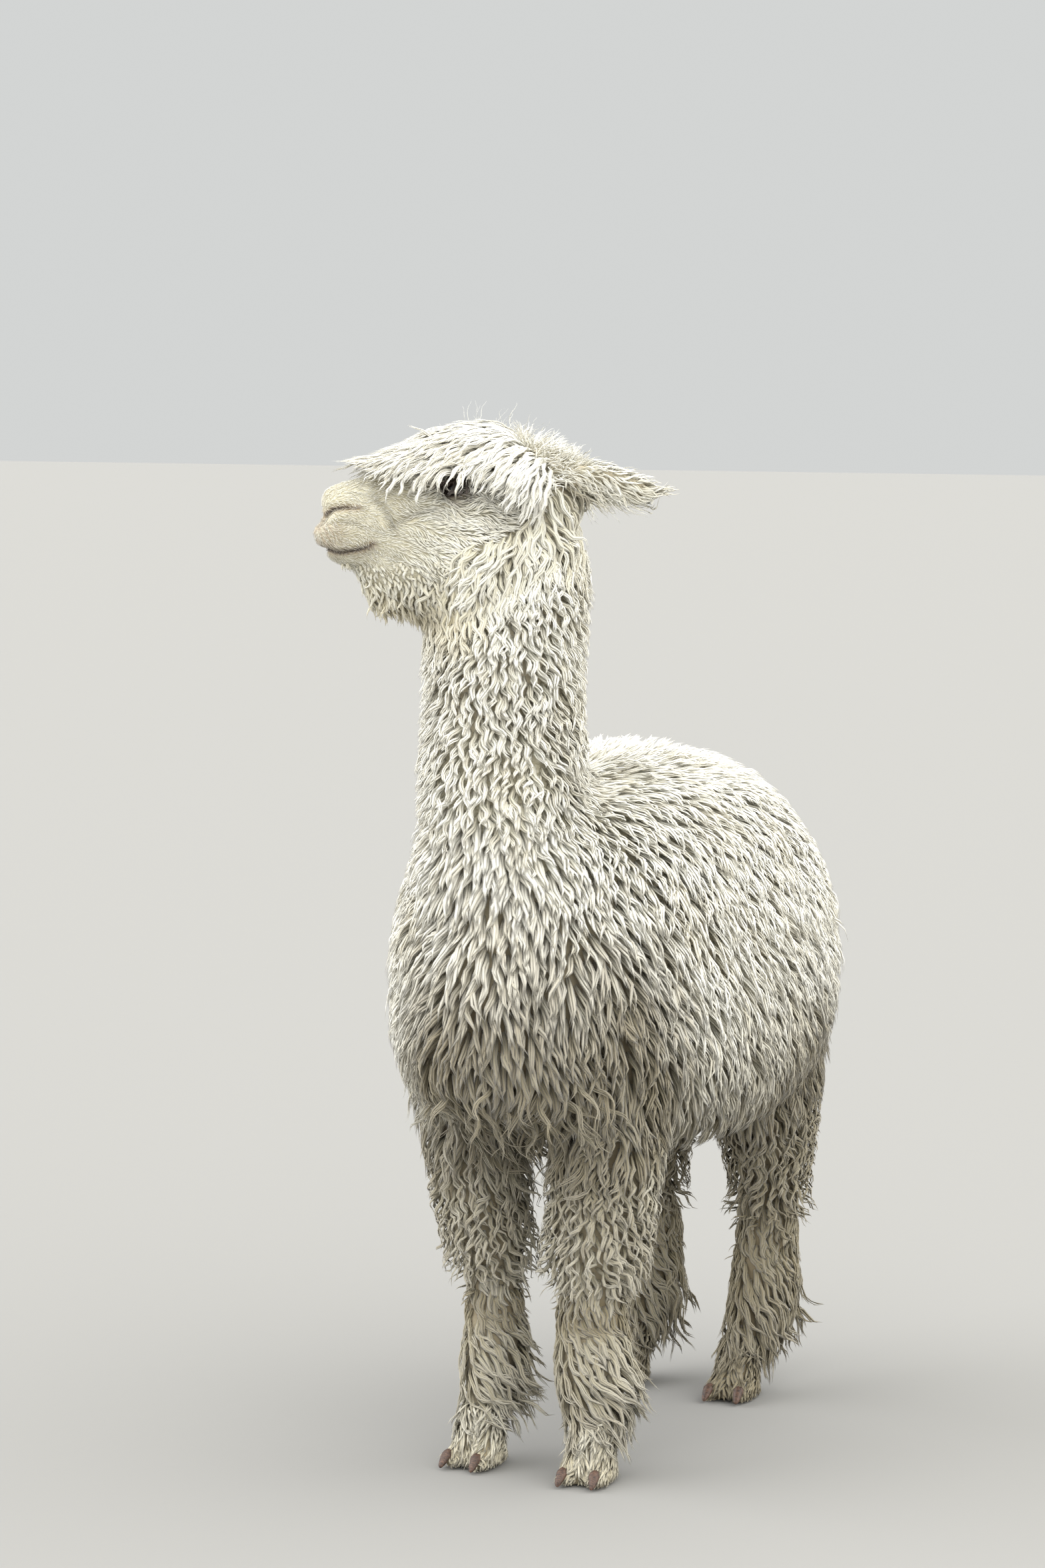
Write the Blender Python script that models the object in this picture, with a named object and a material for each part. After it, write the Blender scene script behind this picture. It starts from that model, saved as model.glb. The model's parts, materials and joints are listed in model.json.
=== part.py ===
"""A life-size standing alpaca, full in its fleece, with its head turned to its right.

The animal faces -Y, its left side is +X and up is +Z. Each named part of the body is one closed solid out to
the tips of the coat. The fleeced body is lofted from ovals, fused and smoothed, and then parted.
"""

import math

import bmesh
import bpy
from mathutils import Matrix, Vector

# ---------------------------------------------------------------- driving dimensions, in metres and degrees

GAP = 0.0005  # clearance that parts keep where they meet

BACK_HEIGHT = 0.955  # top of the fleece over the shoulders
BELLY_HEIGHT = 0.387  # bottom of the fleece under the middle
CHEST_FRONT = -0.215  # foremost point of the chest; the front feet stand near y = 0
RUMP_END = 0.745  # rearmost point of the rump
BODY_HALF_WIDTH = 0.239

NECK_Y = -0.092  # the neck stands just ahead of the front feet
NECK_RADIUS = 0.107
EYE_HEIGHT = 1.288

HEAD_TURN = math.radians(-51.5)  # the head looks over the right shoulder
EYE_FORWARD = 0.074  # from the neck's axis to the eyes, along the head
EYE_SPREAD = 0.047  # from the head's mid-plane to an eye's centre
EYE_RADIUS = 0.0165

EAR_ARCH = 0.006  # how far the middle of an ear rises above the line from its root to its tip

KNEE_HEIGHT = 0.238  # where the wool of the upper leg ends
FOOT_HEIGHT = 0.058  # where the wool of the lower leg ends

ELBOW_SPREAD = 0.100  # from the mid-plane to a foreleg's axis at the chest
HOCK_SPREAD = 0.094  # from the mid-plane to a hock
HOCK_Y = 0.565

FEET = {  # name: (x, y, toes turned out by this many degrees)
    "fore_left": (0.085, -0.010, 4),
    "fore_right": (-0.085, 0.010, 6),
    "hind_left": (0.070, 0.507, 2),
    "hind_right": (-0.108, 0.526, 4),
}

TOE_SPREAD = 0.0185  # from the foot's middle to a toe's middle
TOE_SPLAY = math.radians(5)
LIMB_SIDES = 7  # doubled when a limb is rounded

MATERIALS = {  # name: (colour, roughness)
    "fleece": ((0.80, 0.77, 0.68), 0.9),
    "face_hair": ((0.78, 0.74, 0.66), 0.8),
    "eye": ((0.02, 0.015, 0.012), 0.1),
    "toenail": ((0.30, 0.21, 0.17), 0.5),
    "foot_hair": ((0.66, 0.60, 0.50), 0.85),
}

# ---------------------------------------------------------------- tools


def clear_scene():
    for obj in list(bpy.data.objects):
        bpy.data.objects.remove(obj)


def material(name):
    found = bpy.data.materials.get(name)
    if found:
        return found
    colour, roughness = MATERIALS[name]
    made = bpy.data.materials.new(name)
    made.use_nodes = True
    shader = made.node_tree.nodes["Principled BSDF"]
    shader.inputs["Base Color"].default_value = (*colour, 1.0)
    shader.inputs["Roughness"].default_value = roughness
    return made


def oval(centre, across, along_up, half_width, rise, drop, sides, squareness=2.0, squareness_below=None):
    """Points of a closed oval that may reach further above its centre than below, and be squarer there."""
    points = []
    for step in range(sides):
        angle = 2 * math.pi * step / sides
        c, s = math.cos(angle), math.sin(angle)
        power = 2 / (squareness_below if squareness_below and s < 0 else squareness)
        c = math.copysign(abs(c) ** power, c)
        s = math.copysign(abs(s) ** power, s)
        height = s * (rise if s > 0 else drop)
        points.append(centre + across * (half_width * c) + along_up * height)
    return points


def skin_over(bm, rings, start, end):
    """Quads from each ring to the next, closed by a point at either end."""
    loops = [[bm.verts.new(p) for p in ring] for ring in rings]
    sides = len(loops[0])
    for lower, upper in zip(loops, loops[1:]):
        for i in range(sides):
            j = (i + 1) % sides
            bm.faces.new((lower[i], lower[j], upper[j], upper[i]))
    for loop, tip in ((loops[0], start), (loops[-1], end)):
        pole = bm.verts.new(tip)
        for i in range(sides):
            bm.faces.new((loop[i], loop[(i + 1) % sides], pole))


def finish_mesh(bm, name):
    bmesh.ops.recalc_face_normals(bm, faces=bm.faces)
    mesh = bpy.data.meshes.new(name)
    bm.to_mesh(mesh)
    bm.free()
    return mesh


def new_object(name, mesh, finish):
    obj = bpy.data.objects.new(name, mesh)
    bpy.context.scene.collection.objects.link(obj)
    mesh.materials.clear()
    mesh.materials.append(material(finish))
    return obj


def with_modifier(obj, kind, **settings):
    """Adds one modifier and makes its result the object's own mesh."""
    modifier = obj.modifiers.new(kind.title(), kind)
    for key, value in settings.items():
        setattr(modifier, key, value)
    bpy.context.view_layer.update()
    graph = bpy.context.evaluated_depsgraph_get()
    made = bpy.data.meshes.new_from_object(obj.evaluated_get(graph))
    obj.modifiers.remove(modifier)
    obj.data = made


def triangulated(obj):
    """Bent quads become triangles, so that a shape cut to fit this one meets exactly its surface."""
    with_modifier(obj, "TRIANGULATE")


def rounded(obj, levels=1):
    with_modifier(obj, "SUBSURF", levels=levels, render_levels=levels)
    triangulated(obj)


def fused(obj, voxel, passes, share):
    """Overlapping lofts become one surface, eased where they meet, and thinned to a share of its faces."""
    with_modifier(obj, "REMESH", mode="VOXEL", voxel_size=voxel)
    with_modifier(obj, "SMOOTH", factor=0.5, iterations=passes)
    with_modifier(obj, "DECIMATE", ratio=share)
    triangulated(obj)


def boolean(obj, other, operation):
    triangulated(obj)
    triangulated(other)
    with_modifier(obj, "BOOLEAN", operation=operation, object=other, solver="EXACT")


def make_room(obj, *neighbours):
    """Cuts each neighbour's shape out of obj, and the gap that keeps them apart."""
    for other in neighbours:
        cutter = other.copy()
        cutter.data = other.data.copy()
        bpy.context.scene.collection.objects.link(cutter)
        for vertex, normal in zip(cutter.data.vertices, [v.normal.copy() for v in other.data.vertices]):
            vertex.co += normal * GAP
        boolean(obj, cutter, "DIFFERENCE")
        bpy.data.objects.remove(cutter)


def keep_side(obj, point, normal):
    """Keeps what lies ahead of a plane, and closes the cut."""
    bm = bmesh.new()
    bm.from_mesh(obj.data)
    everything = bm.verts[:] + bm.edges[:] + bm.faces[:]
    cut = bmesh.ops.bisect_plane(bm, geom=everything, plane_co=point, plane_no=normal, clear_inner=True)
    rim = [g for g in cut["geom_cut"] if isinstance(g, bmesh.types.BMEdge)]
    bmesh.ops.holes_fill(bm, edges=rim)
    bmesh.ops.triangulate(bm, faces=bm.faces)
    bmesh.ops.recalc_face_normals(bm, faces=bm.faces)
    bm.to_mesh(obj.data)
    bm.free()


def largest_piece(obj):
    """Drops crumbs that a cut leaves beside the main body."""
    bm = bmesh.new()
    bm.from_mesh(obj.data)
    bm.verts.ensure_lookup_table()
    unseen, pieces = set(bm.verts), []
    while unseen:
        stack, piece = [unseen.pop()], set()
        while stack:
            vertex = stack.pop()
            piece.add(vertex)
            for edge in vertex.link_edges:
                other = edge.other_vert(vertex)
                if other in unseen:
                    unseen.discard(other)
                    stack.append(other)
        pieces.append(piece)
    pieces.sort(key=len)
    for piece in pieces[:-1]:
        bmesh.ops.delete(bm, geom=list(piece), context="VERTS")
    bm.to_mesh(obj.data)
    bm.free()


X, Y, Z = Vector((1, 0, 0)), Vector((0, 1, 0)), Vector((0, 0, 1))

# ---------------------------------------------------------------- trunk and neck


def trunk_rings():
    """Ovals across the body from the chest to the rump, widest low down where the fleece hangs."""
    profile = [  # (y, top, bottom)
        (CHEST_FRONT + 0.008, 0.715, 0.560),
        (CHEST_FRONT + 0.030, 0.790, 0.515),
        (CHEST_FRONT + 0.070, 0.860, 0.488),
        (-0.080, 0.920, 0.466),
        (0.000, BACK_HEIGHT - 0.005, 0.440),
        (0.100, BACK_HEIGHT, 0.412),
        (0.220, BACK_HEIGHT - 0.003, BELLY_HEIGHT),
        (0.340, BACK_HEIGHT - 0.012, BELLY_HEIGHT),
        (0.450, BACK_HEIGHT - 0.030, 0.405),
        (0.550, BACK_HEIGHT - 0.058, 0.430),
        (0.630, BACK_HEIGHT - 0.098, 0.465),
        (0.695, BACK_HEIGHT - 0.155, 0.505),
        (RUMP_END - 0.010, BACK_HEIGHT - 0.235, 0.565),
    ]
    middle_y = 0.5 * (CHEST_FRONT + RUMP_END)
    half_length = 0.5 * (RUMP_END - CHEST_FRONT)
    for y, top, bottom in profile:
        share = abs(y - middle_y) / half_length
        fullness = 2.15 if y < middle_y else 2.45
        half_width = BODY_HALF_WIDTH * (1 - share**fullness) ** (1 / fullness)
        widest = bottom + 0.40 * (top - bottom)
        yield oval(Vector((0, y, widest)), X, Z, half_width, top - widest, widest - bottom, 20, 2.0, 3.0)


def neck_rings():
    """Ovals round the upright neck, from inside the chest to inside the head: (z, y, half width, half depth)."""
    stations = [
        (0.640, NECK_Y + 0.045, 0.150, 0.145),
        (0.740, NECK_Y + 0.030, 0.139, 0.138),
        (0.830, NECK_Y + 0.014, 0.126, 0.128),
        (0.910, NECK_Y + 0.003, 0.115, 0.117),
        (0.990, NECK_Y, NECK_RADIUS, 0.109),
        (1.070, NECK_Y + 0.002, NECK_RADIUS, 0.108),
        (1.150, NECK_Y + 0.006, NECK_RADIUS + 0.006, 0.112),
        (1.220, NECK_Y + 0.008, NECK_RADIUS + 0.002, 0.106),
        (1.270, NECK_Y + 0.006, 0.088, 0.088),
    ]
    for z, y, half_width, half_depth in stations:
        yield oval(Vector((0, y, z)), X, Y, half_width, half_depth, half_depth, 20)


def add_neck(bm):
    skin_over(bm, list(neck_rings()), Vector((0, NECK_Y, 0.55)), Vector((0, NECK_Y, 1.30)))


def build_trunk_and_neck():
    bm = bmesh.new()
    skin_over(bm, list(trunk_rings()), Vector((0, CHEST_FRONT, 0.64)), Vector((0, RUMP_END, 0.635)))
    add_neck(bm)
    add_skull(bm)
    body = new_object("trunk", finish_mesh(bm, "trunk"), "fleece")
    fused(body, voxel=0.013, passes=7, share=0.050)
    neck = new_object("neck", body.data.copy(), "fleece")
    # The neck is parted from the trunk along a slope from the withers down to the chest.
    withers = Vector((0, NECK_Y + 0.110, 0.945))
    slope = Vector((0, -0.36, 0.93)).normalized()
    keep_side(neck, withers + slope * GAP, slope)
    keep_side(body, withers, -slope)
    keep_side(neck, THROAT - THROAT_SLOPE * GAP, -THROAT_SLOPE)
    return body, neck


# ---------------------------------------------------------------- head
# On the head, "ahead" runs from the neck's axis towards the nose, and heights are measured from the eyes.

AHEAD = Vector((math.sin(HEAD_TURN), -math.cos(HEAD_TURN), 0))
HEAD_LEFT = Vector((math.cos(HEAD_TURN), math.sin(HEAD_TURN), 0))
HEAD_ORIGIN = Vector((0, NECK_Y, EYE_HEIGHT))


def on_head(ahead, left, up):
    return HEAD_ORIGIN + AHEAD * ahead + HEAD_LEFT * left + Z * up


THROAT = on_head(0.112, 0, -0.168)  # the head is parted from the neck by a plane from here up to the nape
THROAT_SLOPE = (AHEAD * 0.46 + Z * 0.89).normalized()


def add_head_loft(bm, stations, tip, back, sides=16, squareness=2.2):
    """Ovals across the head: (ahead, top, bottom, half width)."""
    rings = []
    for ahead, top, bottom, half_width in stations:
        middle = 0.5 * (top + bottom)
        half = 0.5 * (top - bottom)
        rings.append(oval(on_head(ahead, 0, middle), HEAD_LEFT, Z, half_width, half, half, sides, squareness))
    skin_over(bm, rings, on_head(*tip), on_head(*back))


def add_blob(bm, place, reach, nod=0.0, detail=3):
    """An egg on the head: place and reach are (ahead, left, up), and nod tips its front down, in degrees."""
    turn = Matrix((-HEAD_LEFT, -AHEAD, Z)).transposed().to_4x4()
    matrix = Matrix.Translation(on_head(*place)) @ turn @ Matrix.Rotation(math.radians(nod), 4, "X")
    matrix = matrix @ Matrix.Diagonal((reach[1], reach[0], reach[2], 1))
    bmesh.ops.create_icosphere(bm, subdivisions=detail, radius=1.0, matrix=matrix)


def add_skull(bm):
    """Forehead, bridge of the nose and cheeks, out to the wool that hangs from the jaw."""
    stations = [
        (0.2260, 0.000, -0.070, 0.024),
        (0.2150, 0.006, -0.086, 0.032),
        (0.2000, 0.011, -0.100, 0.037),
        (0.1780, 0.017, -0.120, 0.042),
        (0.1500, 0.024, -0.148, 0.048),
        (0.1180, 0.034, -0.166, 0.056),
        (0.0820, 0.044, -0.174, 0.061),
        (0.0450, 0.053, -0.185, 0.074),
        (0.0050, 0.058, -0.185, 0.090),
        (-0.0400, 0.052, -0.175, 0.096),
        (-0.0800, 0.036, -0.160, 0.084),
    ]
    add_head_loft(bm, stations, (0.230, 0, -0.040), (-0.104, 0, -0.060))


def add_muzzle(bm):
    """Nose pad, the two halves of the split upper lip, and the chin."""
    add_blob(bm, (0.2130, 0.000, -0.014), (0.0230, 0.0270, 0.0200), nod=-8)
    for sign in (-1, 1):
        add_blob(bm, (0.2170, sign * 0.0130, -0.054), (0.0300, 0.0190, 0.0225), nod=10)
        add_blob(bm, (0.1900, sign * 0.0160, -0.032), (0.0380, 0.0200, 0.0260), nod=0)
    add_blob(bm, (0.2030, 0.000, -0.086), (0.0270, 0.0210, 0.0150), nod=-12)
    add_blob(bm, (0.1560, 0.000, -0.126), (0.0300, 0.0270, 0.0300), nod=0)


def build_head():
    bm = bmesh.new()
    add_skull(bm)
    add_muzzle(bm)
    add_neck(bm)
    head = new_object("head", finish_mesh(bm, "head"), "face_hair")
    fused(head, voxel=0.005, passes=4, share=0.0255)
    keep_side(head, THROAT, THROAT_SLOPE)
    return head


def carve_nostrils(head):
    for sign in (-1, 1):
        bm = bmesh.new()
        add_blob(bm, (0.2130, sign * 0.0330, -0.030), (0.0210, 0.0110, 0.0045), nod=24, detail=2)
        nostril = new_object("nostril", finish_mesh(bm, "nostril"), "face_hair")
        boolean(head, nostril, "DIFFERENCE")
        bpy.data.objects.remove(nostril)


def build_topknot():
    """The forelock: a cap of wool combed from the poll towards the nose."""
    stations = [
        (0.1990, 0.032, 0.016, 0.018),
        (0.1740, 0.052, 0.002, 0.040),
        (0.1260, 0.072, -0.009, 0.060),
        (0.0660, 0.087, -0.006, 0.073),
        (0.0100, 0.091, -0.002, 0.081),
        (-0.0460, 0.073, -0.002, 0.078),
        (-0.0900, 0.046, -0.014, 0.057),
    ]
    bm = bmesh.new()
    add_head_loft(bm, stations, (0.212, 0, 0.018), (-0.110, 0, 0.010), sides=8, squareness=2.0)
    topknot = new_object("topknot", finish_mesh(bm, "topknot"), "fleece")
    rounded(topknot)
    return topknot


def build_lower_jaw(head):
    """The jaw is what lies under the mouth line and ahead of the throat."""
    outline = [(0.300, -0.0775), (0.1730, -0.0730), (0.0960, -0.2100), (0.300, -0.2100)]
    bm = bmesh.new()
    face = bm.faces.new([bm.verts.new(on_head(ahead, -0.1, up)) for ahead, up in outline])
    side = bmesh.ops.extrude_face_region(bm, geom=[face])["geom"]
    corners = [g for g in side if isinstance(g, bmesh.types.BMVert)]
    bmesh.ops.translate(bm, verts=corners, vec=HEAD_LEFT * 0.2)
    wedge = new_object("wedge", finish_mesh(bm, "wedge"), "face_hair")
    jaw = new_object("lower_jaw", head.data.copy(), "face_hair")
    boolean(jaw, wedge, "INTERSECT")
    make_room(head, wedge)
    bpy.data.objects.remove(wedge)
    return jaw


def build_eye(side, sign):
    bm = bmesh.new()
    place = Matrix.Translation(on_head(EYE_FORWARD, sign * EYE_SPREAD, 0))
    bmesh.ops.create_icosphere(bm, subdivisions=2, radius=EYE_RADIUS, matrix=place)
    return new_object("eye_" + side, finish_mesh(bm, "eye_" + side), "eye")


def build_ear(side, sign):
    """A long leaf laid back from the poll, with its hollow side turned outwards and down."""
    root = on_head(-0.048, sign * 0.042, 0.018)
    tip = on_head(-0.192, sign * 0.090, -0.017)
    length = tip - root
    along = length.normalized()
    outward = (HEAD_LEFT * sign - Z * 0.55).normalized()
    outward = (outward - along * outward.dot(along)).normalized()
    across = along.cross(outward)
    profile = [  # (share of the length, half width, half thickness)
        (0.03, 0.018, 0.017),
        (0.28, 0.030, 0.021),
        (0.62, 0.034, 0.020),
        (0.88, 0.020, 0.013),
    ]
    bm = bmesh.new()
    rings = []
    for share, half_width, half_thick in profile:
        arch = Z * (EAR_ARCH * math.sin(math.pi * share))
        rings.append(oval(root + length * share + arch, across, outward, half_width, half_thick, half_thick, 8))
    skin_over(bm, rings, root - along * 0.006, tip)
    ear = new_object("ear_" + side, finish_mesh(bm, "ear_" + side), "fleece")
    rounded(ear)
    bm = bmesh.new()
    hollow = []
    for share, half_width, half_thick in profile[1:]:
        arch = Z * (EAR_ARCH * math.sin(math.pi * share)) + outward * half_thick
        hollow.append(oval(root + length * share + arch, across, outward, half_width * 0.55, 0.012, 0.012, 6))
    skin_over(bm, hollow, root + length * 0.12 + outward * 0.024, root + length * 0.95 + outward * 0.013)
    scoop = new_object("scoop", finish_mesh(bm, "scoop"), "fleece")
    boolean(ear, scoop, "DIFFERENCE")
    bpy.data.objects.remove(scoop)
    return ear


# ---------------------------------------------------------------- legs and feet


def limb(name, axis, girth, top, bottom):
    """Level ovals round a bent axis: axis is [(z, x, y)] from above, girth is [(z, half width, half depth)]."""

    def place(z):
        below = next(i for i in range(1, len(axis)) if z >= axis[i][0] or i == len(axis) - 1)
        (z0, x0, y0), (z1, x1, y1) = axis[below - 1], axis[below]
        share = (z - z0) / (z1 - z0)
        return Vector((x0 + share * (x1 - x0), y0 + share * (y1 - y0), z))

    bm = bmesh.new()
    rings = [oval(place(z), X, Y, width, depth, depth, LIMB_SIDES) for z, width, depth in girth]
    skin_over(bm, rings, place(top), place(bottom))
    obj = new_object(name, finish_mesh(bm, name), "fleece")
    rounded(obj)
    return obj


def build_foreleg(side, sign, foot_x, foot_y):
    """The woolly upper leg ends in a cuff below the knee; the lower leg is shaggy down to the foot."""
    spread, near = (ELBOW_SPREAD, 1.0) if side == "left" else (ELBOW_SPREAD + 0.018, 0.84)
    axis = [
        (0.700, sign * spread, foot_y + 0.050),
        (0.440, sign * spread, foot_y + 0.036),
        (KNEE_HEIGHT, foot_x - sign * 0.013, foot_y + 0.026),
        (0.100, foot_x - sign * 0.006, foot_y + 0.022),
        (0.000, foot_x, foot_y + 0.002),
    ]
    upper = [
        (0.600, 0.084, 0.105),
        (0.480, 0.082, 0.094),
        (0.340, 0.091 * near, 0.086),
        (0.266, 0.084 * near, 0.078),
    ]
    lower = [
        (0.290, 0.050 * near, 0.046),
        (0.235, 0.068 * near, 0.060),
        (0.140, 0.072 * near, 0.062),
        (0.070, 0.047 * near, 0.047),
    ]
    thigh = limb(f"forearm_{side}", axis, upper, 0.660, KNEE_HEIGHT + 0.006)
    shin = limb(f"fore_cannon_{side}", axis, lower, 0.310, FOOT_HEIGHT - 0.006)
    return thigh, shin


def build_hind_leg(side, sign, foot_x, foot_y):
    """The thigh swells into the rump; the hock stands behind the foot."""
    axis = [
        (0.700, sign * 0.080, HOCK_Y - 0.030),
        (0.520, sign * HOCK_SPREAD, HOCK_Y - 0.022),
        (0.400, sign * HOCK_SPREAD, HOCK_Y - 0.004),
        (0.280, sign * HOCK_SPREAD, HOCK_Y + 0.012),
        (0.130, foot_x + 0.018, foot_y + 0.060),
        (0.000, foot_x, foot_y + 0.002),
    ]
    upper = [
        (0.680, 0.100, 0.150),
        (0.540, 0.098, 0.148),
        (0.400, 0.088, 0.106),
        (0.270, 0.066, 0.070),
    ]
    lower = [
        (0.300, 0.050, 0.051),
        (0.240, 0.066, 0.070),
        (0.130, 0.067, 0.073),
        (0.070, 0.042, 0.049),
    ]
    thigh = limb(f"thigh_{side}", axis, upper, 0.740, KNEE_HEIGHT + 0.014)
    shin = limb(f"hind_cannon_{side}", axis, lower, 0.320, FOOT_HEIGHT - 0.006)
    return thigh, shin


def foot_frame(foot):
    x, y, turned_out = FEET[foot]
    sign = 1 if foot.endswith("left") else -1
    return Matrix.Translation((x, y, 0)) @ Matrix.Rotation(math.radians(sign * turned_out), 4, "Z")


def toe_frame(foot, sign):
    beside = Matrix.Translation((sign * TOE_SPREAD, 0, 0))
    return foot_frame(foot) @ beside @ Matrix.Rotation(sign * TOE_SPLAY, 4, "Z")


def build_foot(foot):
    """Two padded toes under one pastern, cut flat where they stand."""
    bm = bmesh.new()
    for sign in (-1, 1):
        place = toe_frame(foot, sign)
        stations = [  # (y, half width, top)
            (0.034, 0.0150, 0.024),
            (0.017, 0.0180, 0.032),
            (-0.010, 0.0190, 0.036),
            (-0.031, 0.0175, 0.032),
            (-0.043, 0.0130, 0.023),
        ]
        rings = [
            [place @ p for p in oval(Vector((0, y, 0.008)), X, Z, half_width, top - 0.008, 0.018, 12, 2.4)]
            for y, half_width, top in stations
        ]
        skin_over(bm, rings, place @ Vector((0, 0.041, 0.008)), place @ Vector((0, -0.048, 0.009)))
    place = foot_frame(foot)
    lean = 0.014 if foot.startswith("fore") else 0.034
    pastern = [  # (z, y, radius)
        (0.086, lean, 0.031),
        (0.064, 0.75 * lean, 0.033),
        (0.042, 0.4 * lean, 0.035),
        (0.022, 0.002, 0.033),
    ]
    rings = [[place @ p for p in oval(Vector((0, y, z)), X, Y, r, r, r, 12)] for z, y, r in pastern]
    skin_over(bm, rings, place @ Vector((0, lean, 0.092)), place @ Vector((0, 0.002, 0.012)))
    obj = new_object(f"{foot.split('_')[0]}_foot_{foot.split('_')[1]}", finish_mesh(bm, foot), "foot_hair")
    fused(obj, voxel=0.004, passes=3, share=0.050)
    keep_side(obj, Vector((0, 0, 0)), Z)
    return obj


def build_nail(foot, label, sign):
    """A hooked nail over the tip of one toe."""
    place = toe_frame(foot, sign)
    stations = [  # (y, z, half width, half height)
        (-0.031, 0.0215, 0.0065, 0.0060),
        (-0.046, 0.0180, 0.0078, 0.0080),
        (-0.057, 0.0080, 0.0050, 0.0048),
    ]
    bm = bmesh.new()
    rings = [
        [place @ p for p in oval(Vector((0, y, z)), X, Z, half_width, half_height, half_height, 7)]
        for y, z, half_width, half_height in stations
    ]
    skin_over(bm, rings, place @ Vector((0, -0.027, 0.022)), place @ Vector((0, -0.0600, 0.0032)))
    obj = new_object(f"toenail_{foot}_{label}", finish_mesh(bm, "toenail"), "toenail")
    return obj


def build_tail():
    """A short woolly tail that hangs against the rump."""
    stations = [  # (z, y from the rump's end, half width, half depth)
        (0.735, -0.060, 0.034, 0.034),
        (0.660, -0.010, 0.046, 0.040),
        (0.560, 0.004, 0.048, 0.040),
        (0.480, -0.008, 0.036, 0.032),
    ]
    bm = bmesh.new()
    rings = [oval(Vector((0, RUMP_END + y, z)), X, Y, w, d, d, 7) for z, y, w, d in stations]
    skin_over(bm, rings, Vector((0, RUMP_END - 0.080, 0.760)), Vector((0, RUMP_END - 0.018, 0.440)))
    tail = new_object("tail", finish_mesh(bm, "tail"), "fleece")
    rounded(tail)
    return tail


# ---------------------------------------------------------------- assembly


def stand_on_floor():
    """Hangs every part from one empty that puts the middle of the whole above the origin."""
    low, high = Vector((9, 9, 9)), Vector((-9, -9, -9))
    for obj in bpy.data.objects:
        for vertex in obj.data.vertices:
            low = Vector(map(min, low, vertex.co))
            high = Vector(map(max, high, vertex.co))
    root = bpy.data.objects.new("alpaca", None)
    bpy.context.scene.collection.objects.link(root)
    root.location = (-(low.x + high.x) / 2, -(low.y + high.y) / 2, 0)
    for obj in bpy.data.objects:
        if obj is not root:
            obj.parent = root
            obj.data.shade_smooth()
            obj.data.set_sharp_from_angle(angle=math.radians(50))
    print("the front feet's line stands at", tuple(round(v, 4) for v in root.location))


def main():
    clear_scene()
    trunk, neck = build_trunk_and_neck()
    head = build_head()
    topknot = build_topknot()
    eyes = [build_eye("left", 1), build_eye("right", -1)]
    for side, sign in (("left", 1), ("right", -1)):
        ear = build_ear(side, sign)
        make_room(ear, topknot, head)
        largest_piece(ear)
    make_room(topknot, head, *eyes)
    largest_piece(topknot)
    make_room(head, *eyes)
    carve_nostrils(head)
    build_lower_jaw(head)
    largest_piece(head)
    tail = build_tail()
    make_room(tail, trunk)
    for foot, (x, y, _turned_out) in FEET.items():
        end, side = foot.split("_")
        sign = 1 if side == "left" else -1
        builder = build_foreleg if end == "fore" else build_hind_leg
        upper, lower = builder(side, sign, x, y)
        pad = build_foot(foot)
        make_room(upper, trunk)
        make_room(lower, upper, pad)
        if end == "hind":
            make_room(tail, upper)
        for label, toe in (("inner", -sign), ("outer", sign)):
            nail = build_nail(foot, label, toe)
            make_room(nail, pad)
            largest_piece(nail)
        largest_piece(upper)
        largest_piece(lower)
    largest_piece(tail)
    stand_on_floor()


main()
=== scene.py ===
# %% [markdown]
# # A life-size alpaca in full fleece
#
# The frame holds one closed solid for each part of the animal, out to the tips of its coat. That is the
# outline. This lesson puts an animal inside it: one skin from the nose to the toes, which lies under the
# outline by the depth of the wool, and on that skin some tens of thousands of locks of real mesh, combed as
# the animal wears them. Sizes are in metres, the animal faces -Y and its left side is +X.

# %% Load the frame
import json
import math

import bpy
import numpy as np
from mathutils import Matrix, Vector
from mathutils.bvhtree import BVHTree
from mathutils.kdtree import KDTree

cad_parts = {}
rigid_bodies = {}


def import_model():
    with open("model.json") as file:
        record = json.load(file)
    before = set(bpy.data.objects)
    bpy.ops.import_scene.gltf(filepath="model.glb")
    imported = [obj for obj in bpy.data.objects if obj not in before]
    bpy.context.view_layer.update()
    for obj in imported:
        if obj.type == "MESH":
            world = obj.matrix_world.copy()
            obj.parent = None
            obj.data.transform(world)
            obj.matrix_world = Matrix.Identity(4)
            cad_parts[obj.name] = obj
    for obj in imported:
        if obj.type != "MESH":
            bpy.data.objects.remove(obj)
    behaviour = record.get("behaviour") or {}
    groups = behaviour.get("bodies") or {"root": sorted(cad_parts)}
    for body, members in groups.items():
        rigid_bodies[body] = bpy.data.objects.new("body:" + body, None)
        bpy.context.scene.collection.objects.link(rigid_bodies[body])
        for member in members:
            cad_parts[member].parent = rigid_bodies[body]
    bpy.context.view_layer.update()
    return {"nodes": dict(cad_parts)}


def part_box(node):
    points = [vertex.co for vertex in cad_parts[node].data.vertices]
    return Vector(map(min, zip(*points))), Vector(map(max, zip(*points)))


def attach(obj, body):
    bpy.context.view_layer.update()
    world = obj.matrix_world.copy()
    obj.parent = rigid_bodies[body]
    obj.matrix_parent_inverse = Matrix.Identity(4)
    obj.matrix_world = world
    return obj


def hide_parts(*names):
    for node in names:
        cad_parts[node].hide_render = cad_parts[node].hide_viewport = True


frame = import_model()

# %% [markdown]
# ## Where things are
#
# The head is turned to one side, so most of its work is easier in its own directions: ahead, to its left, and
# up. They come from the two eyes. A point on the head is then written (ahead, left, up), measured from the
# place on the neck's axis that is level with the eyes.

# %% Directions of the head
MM = 0.001
Z = Vector((0, 0, 1))
EYE_AHEAD = 74 * MM  # from the neck's axis to the line between the eyes


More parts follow.
